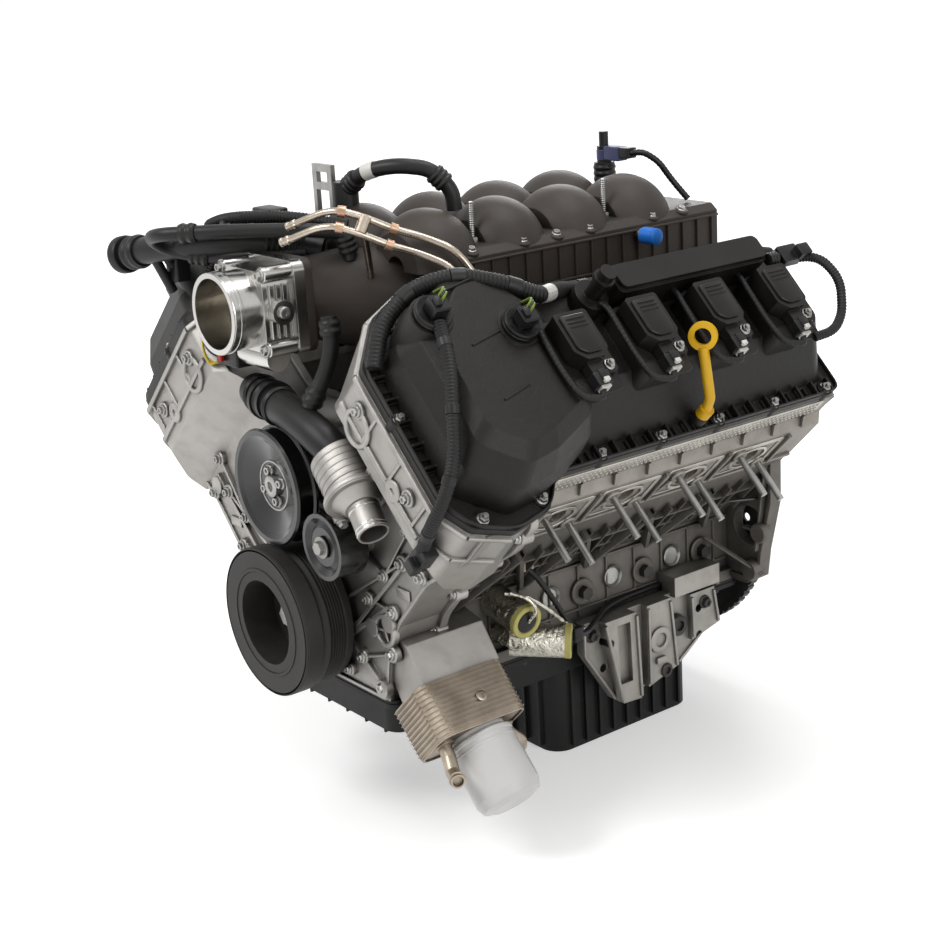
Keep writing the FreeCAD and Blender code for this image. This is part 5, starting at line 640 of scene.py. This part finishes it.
def head_dress():
    """At each port a gasket, as a band round its rounded rectangle, with an oval bead (29 cos t, 22 sin t) in it.
    Above them a shield with three rows of 64 pips 6.4 mm apart, and webs between the ports."""
    t = np.linspace(0, 2 * np.pi, 33)[:-1]
    oval = np.stack([29 * np.cos(t), 22 * np.sin(t)], 1)
    for side in ("left", "right"):
        w_dir, y_dir, h_dir = bank_axes(side)
        axes = (y_dir, h_dir, w_dir)
        plates, cast = Piece(), Piece()
        for y in BORES[side]:
            seat = bank(270, exhaust_face, y, side)
            plates.band(rounded([(-46, -30), (46, -30), (46, 30), (-46, 30)], 10), 0, 8, -0.4, 1.4, seat, axes)
            plates.band(oval, 0, 4.5, -0.4, 2.4, seat, axes)
            cast.rib(bank(244, exhaust_face, y + 50, side), bank(300, exhaust_face, y + 50, side), w_dir, 5, 5)
            cast.rib(bank(256, exhaust_face, y - 44, side), bank(292, exhaust_face, y - 24, side), w_dir, 3.5, 4)
            for d in (-27, 27):
                cast.turned([(10, -1), (10, 4), (8.8, 5.4)],
                            bank(270 + (17 if d < 0 else -17), exhaust_face, y + d, side), w_dir, 22)
        low, high = (-440, -22)
        plates.slab([(low, 321), (high, 321), (high, 347), (low, 347)], -0.6, 1.6, bank(0, head_outer, 0, side), axes,
                    0.6, 6)
        for k in range(64):
            y = -434 + k * 6.4
            for h in (327, 334, 341):
                plates.turned([(1.9, 1), (1.9, 2), (1.2, 2.5)], bank(h, head_outer, y, side), w_dir, 6)
        for k in range(9):
            y = -40 - k * 50
            cast.rib(bank(308, 86, y, side), bank(320, 78.5, y, side), unit(w_dir + h_dir), 4, 4)
        plates.done(side + "_exhaust_gaskets", "gasket", slot="steel")
        cast.rib(bank(243, exhaust_face, -470, side), bank(243, exhaust_face, -14, side), w_dir, 5, 4)
        cast.done(side + "_head_webs", "head_cast", slot="cast_aluminium")


def mount_dress():
    """On both brackets: webs between pairs of (y, z) points at their own depth, a turned ring, a pad and dark
    screws."""
    cast, screws = Piece(), Piece()
    for s in (-1, 1):
        x = s * mount_seat
        out = (s, 0, 0)
        for a, b, base in (((-283, -64), (-283, -104), 14), ((-283, -104), (-236, -174), 14),
                           ((-262, -66), (-238, -170), 30), ((-212, -66), (-207, -174), 30),
                           ((-188, -66), (-188, -166), 26), ((-151, -66), (-142, -154), 26),
                           ((-110, -74), (-108, -128), 22), ((-72, -74), (-64, -118), 22),
                           ((-128, -158), (-82, -126), 14)):
            cast.rib((x + s * base, a[0], a[1]), (x + s * base, b[0], b[1]), out, 4, 3)
        cast.turned([(17, -1), (17, 2.6), (15, 3.6), (10, 3.6), (8.8, 2.6), (8.8, 0.2)],
                    (x + s * 26, -170, -112), out, 30)
        cast.block((x + s * 27.5, -170, -139), (16, 9, 6), FACING_LEFT, 1, 3)
        screws.bolt((x + s * 14, -272, -80), out, 12)
        screws.bolt((x + s * 22, -88, -86), out, 12)
        screws.turned([(9, 0), (9, 2), (8, 3), (4.6, 3), (4, 0.6)], (x + s * 26, -160, -156), out, 24)
        screws.turned([(13.4, -12), (13.4, 0.5), (12, 1.6), (7, 1.6), (6.2, -2)], (x + s * 22, -132, -106), out, 24)
    cast.done("mount_bracket_lips", "bracket_cast", slot="cast_aluminium")
    screws.done("mount_bracket_screws", "dark_steel", slot="steel")


def rear_dress():
    """On the rear of each head: turned plugs in the cam bores, webs between pairs of (w, h) points, and screws on
    bosses. Level and upright webs on the manifold's rear, and a lip with bosses on the bell housing flange."""
    cast, plugs, screws = Piece(), Piece(), Piece()
    for side in ("left", "right"):
        for w in (-44, 44):
            cast.turned([(25, -1), (25, 2.4), (23.4, 4), (20.4, 4), (19.6, 1)], bank(316, w, head_rear, side), BACK, 36)
            plugs.turned([(18.8, -1), (18.8, 3), (17.6, 3.8), (15.4, 2.4), (0.5, 2.2)], bank(316, w, head_rear, side),
                         BACK, 32)
        for w, h, r in ((-72, 262, 14), (0, 258, 17), (52, 266, 11)):
            plugs.turned([(r, -1), (r, 1.6), (r - 1.2, 2.6), (r - 3, 1.4), (0.5, 1)], bank(h, w, head_rear, side), BACK,
                         28)
        for (w0, h0), (w1, h1) in (((-110, 346), (76, 346)), ((-110, 262), (-110, 346)), ((74, 320), (76, 346)),
                                   ((-96, 234), (84, 234)), ((-84, 284), (74, 284)), ((-30, 240), (-44, 292)),
                                   ((30, 240), (44, 292)), ((0, 276), (0, 344))):
            cast.rib(bank(h0, w0, head_rear, side), bank(h1, w1, head_rear, side), BACK, 5, 4)
        for w, h in ((-100, 334), (0, 334), (66, 334), (-98, 246), (76, 248)):
            cast.turned([(9.5, -1), (9.5, 4), (8.4, 5)], bank(h, w, head_rear, side), BACK, 22)
            screws.bolt(bank(h, w, head_rear + 5, side), BACK, 9)
    cast.done("head_rear_webs", "head_cast", slot="cast_aluminium")
    plugs.done("head_rear_plugs", "head_cast", slot="steel")
    screws.done("head_rear_screws", "zinc", slot="steel")
    wall = Piece()
    for x in (-84, -56, -28, 0, 28, 56, 84):
        wall.rib((x, manifold_rear, 268), (x, manifold_rear, 396), BACK, 3, 3.4)
    for z, half in ((268, 100), (308, 138), (352, 106), (396, 104)):
        wall.rib((-half, manifold_rear, z), (half, manifold_rear, z), BACK, 3.2, 4.2)
    wall.done("manifold_rear_webs", "manifold", slot="manifold_plastic")
    half = [(0, 205), (95, 205), (150, 158), (210, 100), (210, 40), (193, -30), (188, -66),
            (165, -74), (0, -74)]
    edge = rounded([(x, z) for x, z in half] + [(-x, z) for x, z in half[::-1][1:-1]], 8)
    bell = Piece()
    bell.band(edge, -0.6, 5, 15, 19, (0, 0, 0), FACING_FRONT)
    for s in (-1, 1):
        for x, z in ((100, 192), (146, 152), (196, 104), (196, -2), (180, -56)):
            bell.turned([(13, 0), (13, 12), (11.6, 14)], (s * x, bell_face + 1, z), FRONT, 24)
            bell.rib((s * x, bell_face, z), (s * x * 0.84, bell_face, z * 0.84), FRONT, 4, 7)
    bell.done("bell_flange_bosses", "block", slot="cast_aluminium")


block_dress()
head_dress()
mount_dress()
rear_dress()


# Throttle, pump, thermostat and pulleys

def throttle_dress():
    """The mouth's grooves as one closed profile turned about its axis, bosses and screws 42 mm from the axis
    each way, five ribs, the plug with its red lock, and three wires 4 mm apart."""
    x, y, z = throttle
    rings = Piece()
    rings.turned([(46.2, 1), (46.6, 2), (46.6, 3), (45.6, 3.6), (45.6, 8.4), (46.6, 9), (46.6, 12.5), (45.4, 13.6),
                   (45, 13.8), (45, 0.8)], (x, y, z), BACK, 64, "round")
    for sx in (-42, 42):
        for sz in (-42, 42):
            rings.turned([(9.4, 0), (9.4, 4), (8.6, 5)], (x + sx, throttle_back + 4.5, z + sz), FRONT, 24)
    for k in range(5):
        rings.rib((x + 47, -584 + 8.5 * k, z - 30), (x + 47, -584 + 8.5 * k, z + 30), (1, 0, 0), 2, 2)
    rings.done("throttle_rings", "machined", slot="machined_aluminium")
    screws = Piece()
    for sx in (-42, 42):
        for sz in (-42, 42):
            screws.bolt((x + sx, throttle_back - 0.5, z + sz), FRONT, 10)
    screws.turned([(7, -1), (7, 3), (6, 4), (3.4, 4), (3, 2)], (x + 58, -574, z), (1, 0, 0), 24)
    screws.done("throttle_screws", "zinc", slot="steel")
    plug = Piece()
    plug.block((x - 38, -582, z - 62), (34, 24, 22), UPRIGHT, 1.5, 3)
    plug.block((x - 60, -584, z - 64), (18, 20, 18), UPRIGHT, 1.2, 3)
    plug.tube([(x - 68, -586, z - 64), (x - 90, -590, z - 60), (x - 112, -584, z - 30),
               (x - 116, -570, z + 20), (x - 96, -560, z + 52)], 4.6, 12, 0.9, 4)
    plug.done("throttle_plug", "plug_black", slot="black_plastic")
    lock = Piece()
    lock.block((x - 52, -597, z - 60), (8, 5, 16), UPRIGHT, 0.8, 1.5)
    lock.block((x - 60, -584, z - 53), (10, 14, 5), UPRIGHT, 0.8, 1.5)
    lock.done("throttle_plug_lock", "plug_red")
    wires = Piece()
    for k in range(3):
        wires.tube([(x - 66, -592 + 4 * k, z - 70), (x - 80, -596 + 4 * k, z - 78),
                    (x - 98, -594 + 4 * k, z - 66), (x - 108, -588 + 2 * k, z - 40)], 1.4, 8)
    wires.done("throttle_wires", "wire_yellow")


def pump_dress():
    """Screws at 90 k + 45 degrees and ribs at 45 k + 20 degrees round the pump's axis, and turned rings along the
    thermostat housing, at 0.12 + 0.17 k of its length, and along its spigot."""
    screws, cast = Piece(), Piece()
    for k in range(4):
        a = math.radians(90 * k + 45)
        screws.bolt((54 * math.cos(a), -568, pump_height + 54 * math.sin(a)), FRONT, 10)
    for k in range(8):
        a = math.radians(45 * k + 20)
        cast.rib((35 * math.cos(a), -566, pump_height + 35 * math.sin(a)),
                 (50 * math.cos(a), -566, pump_height + 50 * math.sin(a)), FRONT, 3, 5)
    low = np.array([150, -590, 180])
    out = unit(np.array([192, -600, 146]) - low)
    for e in ((24, 8, 30), (-24, -8, -30)):
        screws.bolt(low + e + out * 8, out, 10)
    body = low - np.array([112, -584, 210])
    for k in range(5):
        cast.turned([(32.6, 0), (33.8, 0.6), (33.8, 2.2), (32.6, 2.8)],
                    np.array([112, -584, 210]) + body * (0.12 + 0.17 * k), body, 40)
    cast.turned([(37.4, 1.5), (38.2, 2.2), (38.2, 5.8), (37.4, 6.5)], low, out, 44)
    cast.done("pump_casting_ribs", "cover_cast", slot="cast_aluminium")
    screws.done("pump_screws", "zinc", slot="steel")
    spigot = Piece()
    for start, tall in ((24, 0.6), (46, 0.8), (50.6, 1)):
        spigot.turned([(16, 0), (17.2, 0), (17.4 + tall, 1), (17.4 + tall, 2.2), (17.2, 3.4), (16, 3.4)],
                      low + out * start, out, 40, "round")
    spigot.done("spigot_rings", "machined", slot="machined_aluminium")


throttle_dress()
pump_dress()


def damper_dress():
    """Two turned beads on the damper's face, and eight screws on a 38 mm circle in the drive plate."""
    ring = Piece()
    ring.turned([(86.5, 0), (87.6, -0.8), (87.6, -4), (86.5, -5), (84, -5), (84, 0)], (0, damper_front, 0), FRONT, 96,
                "round")
    ring.turned([(60, 0.2), (61, 1), (64, 1), (65, 0.2)], (0, damper_front, 0), FRONT, 96, "round")
    ring.done("damper_face_beads", "damper_coat", "crank", "damper_iron")
    screws = Piece()
    for k in range(8):
        a = math.radians(45 * k)
        screws.bolt((38 * math.cos(a), 9.2, 38 * math.sin(a)), BACK, 13)
    screws.done("drive_plate_screws", "zinc", "crank", "steel")


def pulley_dress():
    """Four screws at 90 k + 20 degrees, a turned centre cap and a lip on the pump pulley."""
    parts = Piece()
    hub = np.array([0, -602, pump_height])
    for k in range(4):
        a = math.radians(90 * k + 20)
        parts.bolt(hub + [18 * math.cos(a), 0, 18 * math.sin(a)], FRONT, 9.6)
    parts.turned([(12.4, -1), (12.4, 5.4), (11.2, 6.2), (6, 6.2), (5.2, 4.6)], hub, FRONT, 32)
    parts.turned([(27, -0.6), (27.6, 1), (29.2, 1), (29.8, -0.6)], hub, FRONT, 48, "round")
    parts.done("pump_pulley_screws", "zinc", "pump_pulley", "steel")


damper_dress()
pulley_dress()


# Intake manifold

def manifold_dress():
    """Webs every 24.6 mm along both rails, arcs (48 + 42.5 cos t, 384 + 42.5 sin t) on both sides of each runner,
    turned bands on the neck, studs whose radius steps by half a millimetre each 1.25 mm, and the port's and the
    sensor's fittings."""
    webs, screws, studs = Piece(), Piece(), Piece()
    for s in (-1, 1):
        for k in range(16):
            y = -18 - k * 24.6
            webs.rib((s * rail_face, y, 344), (s * rail_face, y, 393), (s, 0, 0), 2.4, 3.2)
        webs.rib((s * rail_face, -396, 391), (s * rail_face, -8, 391), (s, 0, 0), 3, 4.2)
        webs.rib((s * rail_face, -396, 350), (s * rail_face, -8, 350), (s, 0, 0), 3, 3.4)
        for y in (-60, -110, -210, -260, -310, -384):
            webs.turned([(8.5, -2), (8.5, 4), (7.4, 5)], (s * 104, y + (0 if s > 0 else -12), 398), (s * 0.35, 0, 1),
                        20)
            screws.bolt((s * 104.6, y + (0 if s > 0 else -12), 402.5), (s * 0.35, 0, 1), 8)
        ys = BORES["left" if s > 0 else "right"]
        for y in ys:
            for d in (-40.5, 40.5):
                t = np.radians(np.linspace(12, 150, 24))
                arc = np.stack([s * (48 + 42.5 * np.cos(t)), np.full(24, y + d), 384 + 42.5 * np.sin(t)], 1)
                webs.tube(arc, 1.6, 8, step=4)
    for x, y in ((70, -355), (70, -155), (-70, -275)):
        turns = np.arange(0, 46, 1.25)
        studs.turned([(3.2 - 0.5 * (k % 2), h) for k, h in enumerate(turns)] + [(2.2, 46.5)], (x, y, 404), UP, 10)
        studs.turned([(6.4, 0), (6.4, 6), (5.6, 7)], (x, y, 403), UP, 6)
    for y0, r in ((-536, 47.6), (-528, 47.8)):
        webs.turned([(r - 2.4, 0), (r - 1.2, 0), (r, 0.8), (r, 3.2), (r - 1.2, 4), (r - 2.4, 4)],
                    (-50, y0, 353), BACK, 48, "round")
    webs.rib((-60, -470, 412), (-30, -400, 404), UP, 3, 4)
    webs.done("manifold_webs", "manifold", slot="manifold_plastic")
    screws.done("manifold_screws", "zinc", slot="steel")
    studs.done("manifold_studs", "zinc", slot="steel")
    cap = Piece()
    cap.ridged((rail_face + 13, -142, 386), (1, 0, 0), 9.3, 20, 7, 0.7)
    cap.turned([(9.2, 0), (9.8, 0.8), (9.8, 3), (8.2, 4.4), (3, 4.8)], (rail_face + 32.5, -142, 386), (1, 0, 0), 28)
    cap.done("service_port_cap", "blue")
    sensor = Piece()
    sensor.block((-8.5, -62, 464), (27, 17.5, 17.5), UPRIGHT, 1.2, 2)
    sensor.turned([(9.6, 0), (9.6, 12), (8.6, 13)], (-30, -62, 455), UP, 24)
    sensor.done("pressure_sensor_shell", "plug_violet")
    plug = Piece()
    plug.block((13, -62, 466), (19, 15, 13), UPRIGHT, 1, 2)
    plug.ridged((-30, -62, 405), UP, 13.4, 44, 6, 1)
    plug.tube([(22, -62, 466), (38, -58, 468), (52, -46, 456), (60, -30, 430), (76, -20, 408)],
              3.6, 12, 0.7, 3.4)
    plug.done("pressure_sensor_plug", "plug_black", slot="black_plastic")


manifold_dress()


# Hoses, tubes and looms

loop_hose = [(0, -476, 396), (0, -478, 426), (-20, -520, 434), (-80, -600, 438),
             (-130, -644, 436), (-164, -640, 428), (-176, -612, 410), (-150, -580, 398),
             (-100, -548, 400), (-52, -500, 402)]
high_hose = [(-56, -436, 466), (-30, -430, 486), (6, -410, 494), (34, -380, 488),
             (46, -362, 462), (46, -360, 440)]
down_hose = [(60, -550, 352), (66, -552, 318), (62, -564, 285), (56, -587, 248)]
duct = [(-50, -480, 400), (-96, -530, 416), (-156, -592, 416), (-222, -616, 404),
        (-270, -622, 394)]
upper_tube = [(2, -548, 446), (36, -530, 460), (52, -520, 462), (66, -496, 452),
              (80, -468, 436), (98, -442, 426), (126, -422, 412), (142, -406, 380)]
lower_tube = [(x + 4, y - 12, z - 15) for x, y, z in upper_tube]
elbow = [(-70, -574, 252), (-20, -582, 249), (40, -590, 243), (84, -590, 230), (109, -584, 212)]
main_loom = [bank(392, -104, -14), bank(404, -106, -60), bank(408, -106, -330),
             bank(426, -100, -372), bank(434, -92, -400), bank(441, -112, -440),
             bank(432, -140, -486), bank(412, -146, -530), bank(392, -122, -572),
             bank(376, -84, -594)]
front_loom = [bank(449, -78, -550), bank(449, -34, -562), bank(434, 10, -578),
              bank(410, 52, -588), bank(380, 80, -604), bank(340, 88, -608),
              bank(300, 92, -600)]
rear_loom = [bank(453, -60, -66), bank(470, -44, -34), bank(470, -8, -26), bank(455, 26, -38), bank(448, 42, -58),
             bank(440, 40, -84)]
valley_loom = [(-10, -470, 432), (-60, -520, 446), (-120, -560, 444), (-176, -560, 428), (-214, -500, 412),
               (-230, -420, 402)]
nose_loom = [(-30, -500, 428), (-90, -560, 430), (-150, -606, 424), (-200, -604, 398), (-212, -580, 372)]


def hose_dress():
    """Sleeves, bellows, bands and clips: each is the stretch of a hose's route between two lengths from its start,
    as a wider circle, with rounded rings where it has some. Quick fittings are turned profiles."""
    rubber, bands, clips, ends = Piece(), Piece(), Piece(), Piece()
    for hose, start, length, radius, rings, rise in (
            (loop_hose, 8, 22, 10.4, 3, 1.2), (loop_hose, 196, 20, 10.2, 2, 1.4), (loop_hose, 330, 24, 10.4, 3, 1.2),
            (high_hose, 2, 20, 11.4, 3, 1.2), (high_hose, 118, 20, 11.4, 3, 1.2), (down_hose, 4, 18, 11, 2, 1.2),
            (down_hose, 84, 18, 11.2, 2, 1.4), (duct, 20, 46, 16.6, 7, 2.4), (duct, 232, 26, 18.5, 2, 2)):
        cuff(rubber, hose, start, length, radius, rings, rise)
    rubber.turned([(21, 0), (22.5, 2), (22.5, 12), (20, 15), (14, 15), (13, 10)], (-258, -620.5, 396.6),
                  (-0.97, -0.13, -0.2), 32)
    for start in (14, 40, 66):
        cuff(rubber, elbow, start, 9, 21.5, 1, 2)
    rubber.done("hose_sleeves", "hose", slot="rubber")
    cuff(bands, high_hose, 34, 15, 9.7)
    cuff(bands, main_loom, 372, 18, 9.4)
    bands.done("hose_bands", "plug_white")
    for tube, first, second in ((upper_tube, 58, 118), (lower_tube, 62, 120)):
        cuff(clips, tube, first, 9, 6.4)
        cuff(clips, tube, second, 9, 6.2)
    clips.done("tube_clips", "copper", slot="fuel_steel")
    for tube in (upper_tube, lower_tube):
        ends.turned([(4, 0), (5.2, 1), (5.2, 4), (4.4, 5), (4.4, 9), (5.2, 10), (5.2, 12), (3.4, 13)],
                    tube[0] + np.array([3, 1.5, 1.2]), (-34, -18, -14), 20)
    ends.done("tube_ends", "tube_steel", slot="fuel_steel")


def loom_dress():
    """Split conduit: a circle whose radius goes up and down by about 1 mm every 4 mm along each loom, with tape
    bands, plugs as chamfered boxes, and the sensor leads down the block's side."""
    conduit, tape, plugs, pale, leads, rings, hearts = (Piece() for _ in range(7))
    for points, radius, sides, wave, pitch, step in (
            (main_loom, 8.5, 14, 1, 4.4, 1.1), (front_loom, 6.5, 14, 0.8, 3.6, 0.9), (rear_loom, 5, 12, 0.8, 3.6, 0.9),
            (valley_loom, 6.5, 12, 0.9, 4, 1), (nose_loom, 5, 12, 0.8, 3.6, 1)):
        conduit.tube(points, radius, sides, wave, pitch, step)
    conduit.done("loom_conduit", "loom", slot="black_plastic")
    for start in (30, 120, 210, 300, 420, 480, 540):
        cuff(tape, main_loom, start, 16, 9.9)
    for start in (20, 90, 160, 230):
        cuff(tape, front_loom, start, 10, 7.6)
    tape.done("loom_tape", "hose", slot="black_plastic")
    tip = bank(300, 92, -600)
    plugs.block(tip + [0, 2, -4], (20, 18, 26), bank_axes(), 1.4, 3)
    plugs.block(tip + [-6, -8, -14], (16, 12, 14), bank_axes(), 1, 2)
    plugs.block((-206, -584, 380), (26, 20, 30), UPRIGHT, 1.4, 3)
    plugs.block((-92, -520, 442), (40, 26, 22), UPRIGHT, 1.6, 4)
    plugs.ridged((-110, -536, 430), (-0.7, -0.7, 0), 14, 34, 4, 1.2)
    plugs.block((182, -322, -52), (16, 14, 18), UPRIGHT, 1.2, 3)
    plugs.tube([(160, -392, 54), (172, -372, 34), (176, -350, 0), (178, -332, -34), (182, -322, -46)], 3.2, 10, 0.6, 3)
    plugs.tube([(182, -316, -56), (176, -298, -60), (160, -270, -58), (142, -240, -56), (133, -200, -56),
                (131, -120, -56)], 3.4, 10, 0.6, 3)
    plugs.block(bank(459, -60, -66), (22, 30, 14), bank_axes(), 1.4, 3)
    plugs.block(bank(469, -56, -52), (15, 18, 12), bank_axes(), 1, 2)
    plugs.ridged(bank(459, -60, -84), FRONT, 7, 14, 3, 0.8)
    plugs.done("loom_plugs", "plug_black", slot="black_plastic")
    pale.block((160, -396, 64), (18, 15, 16), UPRIGHT, 1, 2)
    pale.block((162, -378, 44), (16, 18, 13), UPRIGHT, 1, 2)
    pale.done("sensor_blocks", "beige")
    leads.tube([(178, -420, 24), (196, -404, 22), (202, -380, 2), (196, -350, -26), (186, -330, -42)], 2, 8, 0.5, 2.4)
    leads.tube([(193, -400, -12), (206, -396, 4), (200, -404, 20), (184, -418, 26)], 2, 8, 0.5, 2.4)
    leads.done("sensor_leads", "foil", slot="foil")
    for end, along in (((190, -400, -13), (62, 0, -12)), ((200, -345, -50), (48, 51, -4))):
        rings.turned([(20.3, -6), (20.6, 0.6), (19.6, 1.8), (15, 1.8), (14, 0.2)], end, along, 32)
        hearts.turned([(13.4, -1), (13.4, 1.2), (9, 2.4), (3, 2.6)], end, along, 24)
    rings.done("sleeve_end_rings", "sleeve_end")
    hearts.done("sleeve_end_plugs", "plug_black", slot="black_plastic")


hose_dress()
loom_dress()


def cooler_dress():
    """In the cooler's own axes, turned 135 degrees: an edge on each of its eleven plates, a stamped ring and rim,
    nozzle beads, and two seams round the can."""
    turn = math.radians(135)
    ux = np.array([math.cos(turn), 0, -math.sin(turn)])
    uz = np.array([math.sin(turn), 0, math.cos(turn)])
    uy = np.array([0, 1, 0])
    centre = np.array([194, -505, -87])

    def at(x, y, z):
        return centre + ux * x + uy * y + uz * z

    plates = Piece()
    for k in range(11):
        z = -31 + 62 / 11 * k
        for s in (-1, 1):
            plates.rib(at(-26, s * 61, z + 1.8), at(26, s * 61, z + 1.8), uy * s, 1.4, 0.9)
            plates.rib(at(s * 39, -48, z + 1.8), at(s * 39, 48, z + 1.8), ux * s, 1.4, 0.9)
    plates.turned([(6.5, -1), (6.5, 1.6), (5.4, 2.4), (3, 2.4), (2.6, 1)], at(-39, 8, 4), -ux, 24)
    plates.band(rounded([(-37, -59), (37, -59), (37, 59), (-37, 59)], 18), 0, 3, 30.5, 33, centre, (ux, uy, uz))
    for x, y in ((-6, -44), (10, 46)):
        plates.turned([(13, 0), (13, 2.5), (11, 3.8)], at(x, y, 31), uz, 28)
    plates.done("cooler_plate_edges", "cooler", slot="cooler_aluminium")
    can = Piece()
    can.turned([(38.8, 0), (40.2, 1.4), (40.2, 4.6), (38.8, 6.2)], at(4, 6, 38), uz, 64)
    can.turned([(39, 0), (39.5, 0.8), (39.5, 2.2), (39, 3)], at(4, 6, 49), uz, 64)
    can.done("filter_rim", "filter_white", slot="filter_white")
    beads = Piece()
    for place, lean, neck, bead in (((-17, -57, 31 + 43), (-14, -8, 14), 8.2, 9.4),
                                    ((34, 69.6, 31 + 20.8), (22, 10, -2), 9.7, 10.8)):
        beads.turned([(neck, 0), (bead, 1), (bead, 2.4), (neck, 3.4)], at(*place), at(*lean) - centre, 28)
    beads.done("nozzle_beads", "cooler", slot="cooler_aluminium")


def sump_dress():
    """Seam as a band on the pan's rounded outline, six ribs under its shallow end, and the drain plug."""
    seams = Piece()
    seams.band(rounded([(-138, -556), (138, -556), (138, -2), (-138, -2)], 14), -0.8, 4, -90.5, -84, (0, 0, 0), UPRIGHT)
    for k in range(6):
        seams.rib((-98 + 39.2 * k, -544, -130), (-98 + 39.2 * k, -304, -130), DOWN, 3, 4)
    seams.done("pan_seams", "pan", slot="black_plastic")
    plug = Piece()
    plug.bolt((-60, -305, -214), FRONT, 18)
    plug.done("drain_plug", "zinc", slot="steel")


cooler_dress()
sump_dress()


# Camera, light and floor

def set_camera():
    """Camera at the photo's angle: right, up and ahead from its azimuth, elevation and roll, and its place in
    metres."""
    a, e, roll = (math.radians(v) for v in (52.99, 17.45, -3.368))
    across = Vector((math.cos(a), math.sin(a), 0))
    rise = Vector((-math.sin(a) * math.sin(e), math.cos(a) * math.sin(e), math.cos(e)))
    ahead = Vector((-math.sin(a) * math.cos(e), math.cos(a) * math.cos(e), -math.sin(e)))
    right = across * math.cos(roll) + rise * math.sin(roll)
    up = rise * math.cos(roll) - across * math.sin(roll)
    data = bpy.data.cameras.new("camera")
    data.sensor_width = 36
    data.lens = 1770 * 36 / 950
    data.clip_end = 100
    cam = bpy.data.objects.new("camera", data)
    cam.matrix_world = Matrix(((right.x, up.x, -ahead.x, 1.6566), (right.y, up.y, -ahead.y, -1.5672),
                               (right.z, up.z, -ahead.z, 0.7550), (0, 0, 0, 1)))
    bpy.context.scene.collection.objects.link(cam)
    bpy.context.scene.camera = cam


def soft_lamp(name, place, size, power):
    """Area lamp that points at the middle of the engine."""
    data = bpy.data.lights.new(name, "AREA")
    data.shape = "RECTANGLE"
    data.size, data.size_y = size
    data.energy = power
    lamp = bpy.data.objects.new(name, data)
    lamp.location = place
    lamp.rotation_euler = (Vector((0, -0.28, 0.12)) - Vector(place)).to_track_quat("-Z", "Y").to_euler()
    bpy.context.scene.collection.objects.link(lamp)


def bright_rays(tree):
    """One where the camera, a reflection or a pass through glass looks, and nothing for other light."""
    path = add(tree, "LightPath").outputs
    first = add(tree, "Math", {0: path["Is Camera Ray"], 1: path["Is Glossy Ray"]}, operation="MAXIMUM")
    both = add(tree, "Math", {0: first.outputs["Value"], 1: path["Is Transmission Ray"]}, operation="MAXIMUM")
    return both.outputs["Value"]


def set_world():
    """Soft grey light all round, which the camera and reflections see as white."""
    world = bpy.data.worlds.new("studio")
    bpy.context.scene.world = world
    world.use_nodes = True
    tree = world.node_tree
    fill(tree, tree.nodes["Background"],
         {"Color": blend(tree, bright_rays(tree), (0.30, 0.298, 0.295, 1), (1, 1, 1, 1))})


def set_floor():
    """Pale floor that keeps the engine's shadow. Its own light, for the camera and reflections alone, rises from
    0.42 at half a metre from the middle to 1 at 2.2 m, so that it fades to white."""
    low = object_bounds()[0][2] - 0.0008
    mesh = bpy.data.meshes.new("floor")
    mesh.from_pydata([(-30, -30, low), (30, -30, low), (30, 30, low), (-30, 30, low)], [], [(0, 1, 2, 3)])
    mat = bpy.data.materials.new("floor_white")
    mat.use_nodes = True
    tree = mat.node_tree
    span = add(tree, "VectorMath", {0: add(tree, "TexCoord").outputs["Object"]}, operation="LENGTH")
    fade = add(tree, "MapRange", {"Value": span.outputs["Value"], "From Min": 0.5, "From Max": 2.2,
                                  "To Min": 0.42, "To Max": 1})
    level = add(tree, "Math", {0: bright_rays(tree), 1: fade.outputs["Result"]}, operation="MULTIPLY")
    fill(tree, tree.nodes["Principled BSDF"],
         {"Base Color": (0.82, 0.82, 0.82, 1), "Roughness": 0.9, "Emission Color": (1, 1, 1, 1),
          "Emission Strength": level.outputs["Value"]})
    mesh.materials.append(mat)
    obj = bpy.data.objects.new("floor", mesh)
    bpy.context.scene.collection.objects.link(obj)


set_camera()
soft_lamp("key", (-0.2, -2.1, 1.9), (1, 0.8), 30)
soft_lamp("side", (2.2, -0.5, 1), (0.9, 1.1), 15)
soft_lamp("top", (0.3, 0, 2.4), (1.3, 1), 24)
soft_lamp("back", (-1.6, 1.4, 1.3), (1.1, 0.8), 16)
set_world()
set_floor()
bpy.context.scene.view_settings.view_transform = "Standard"
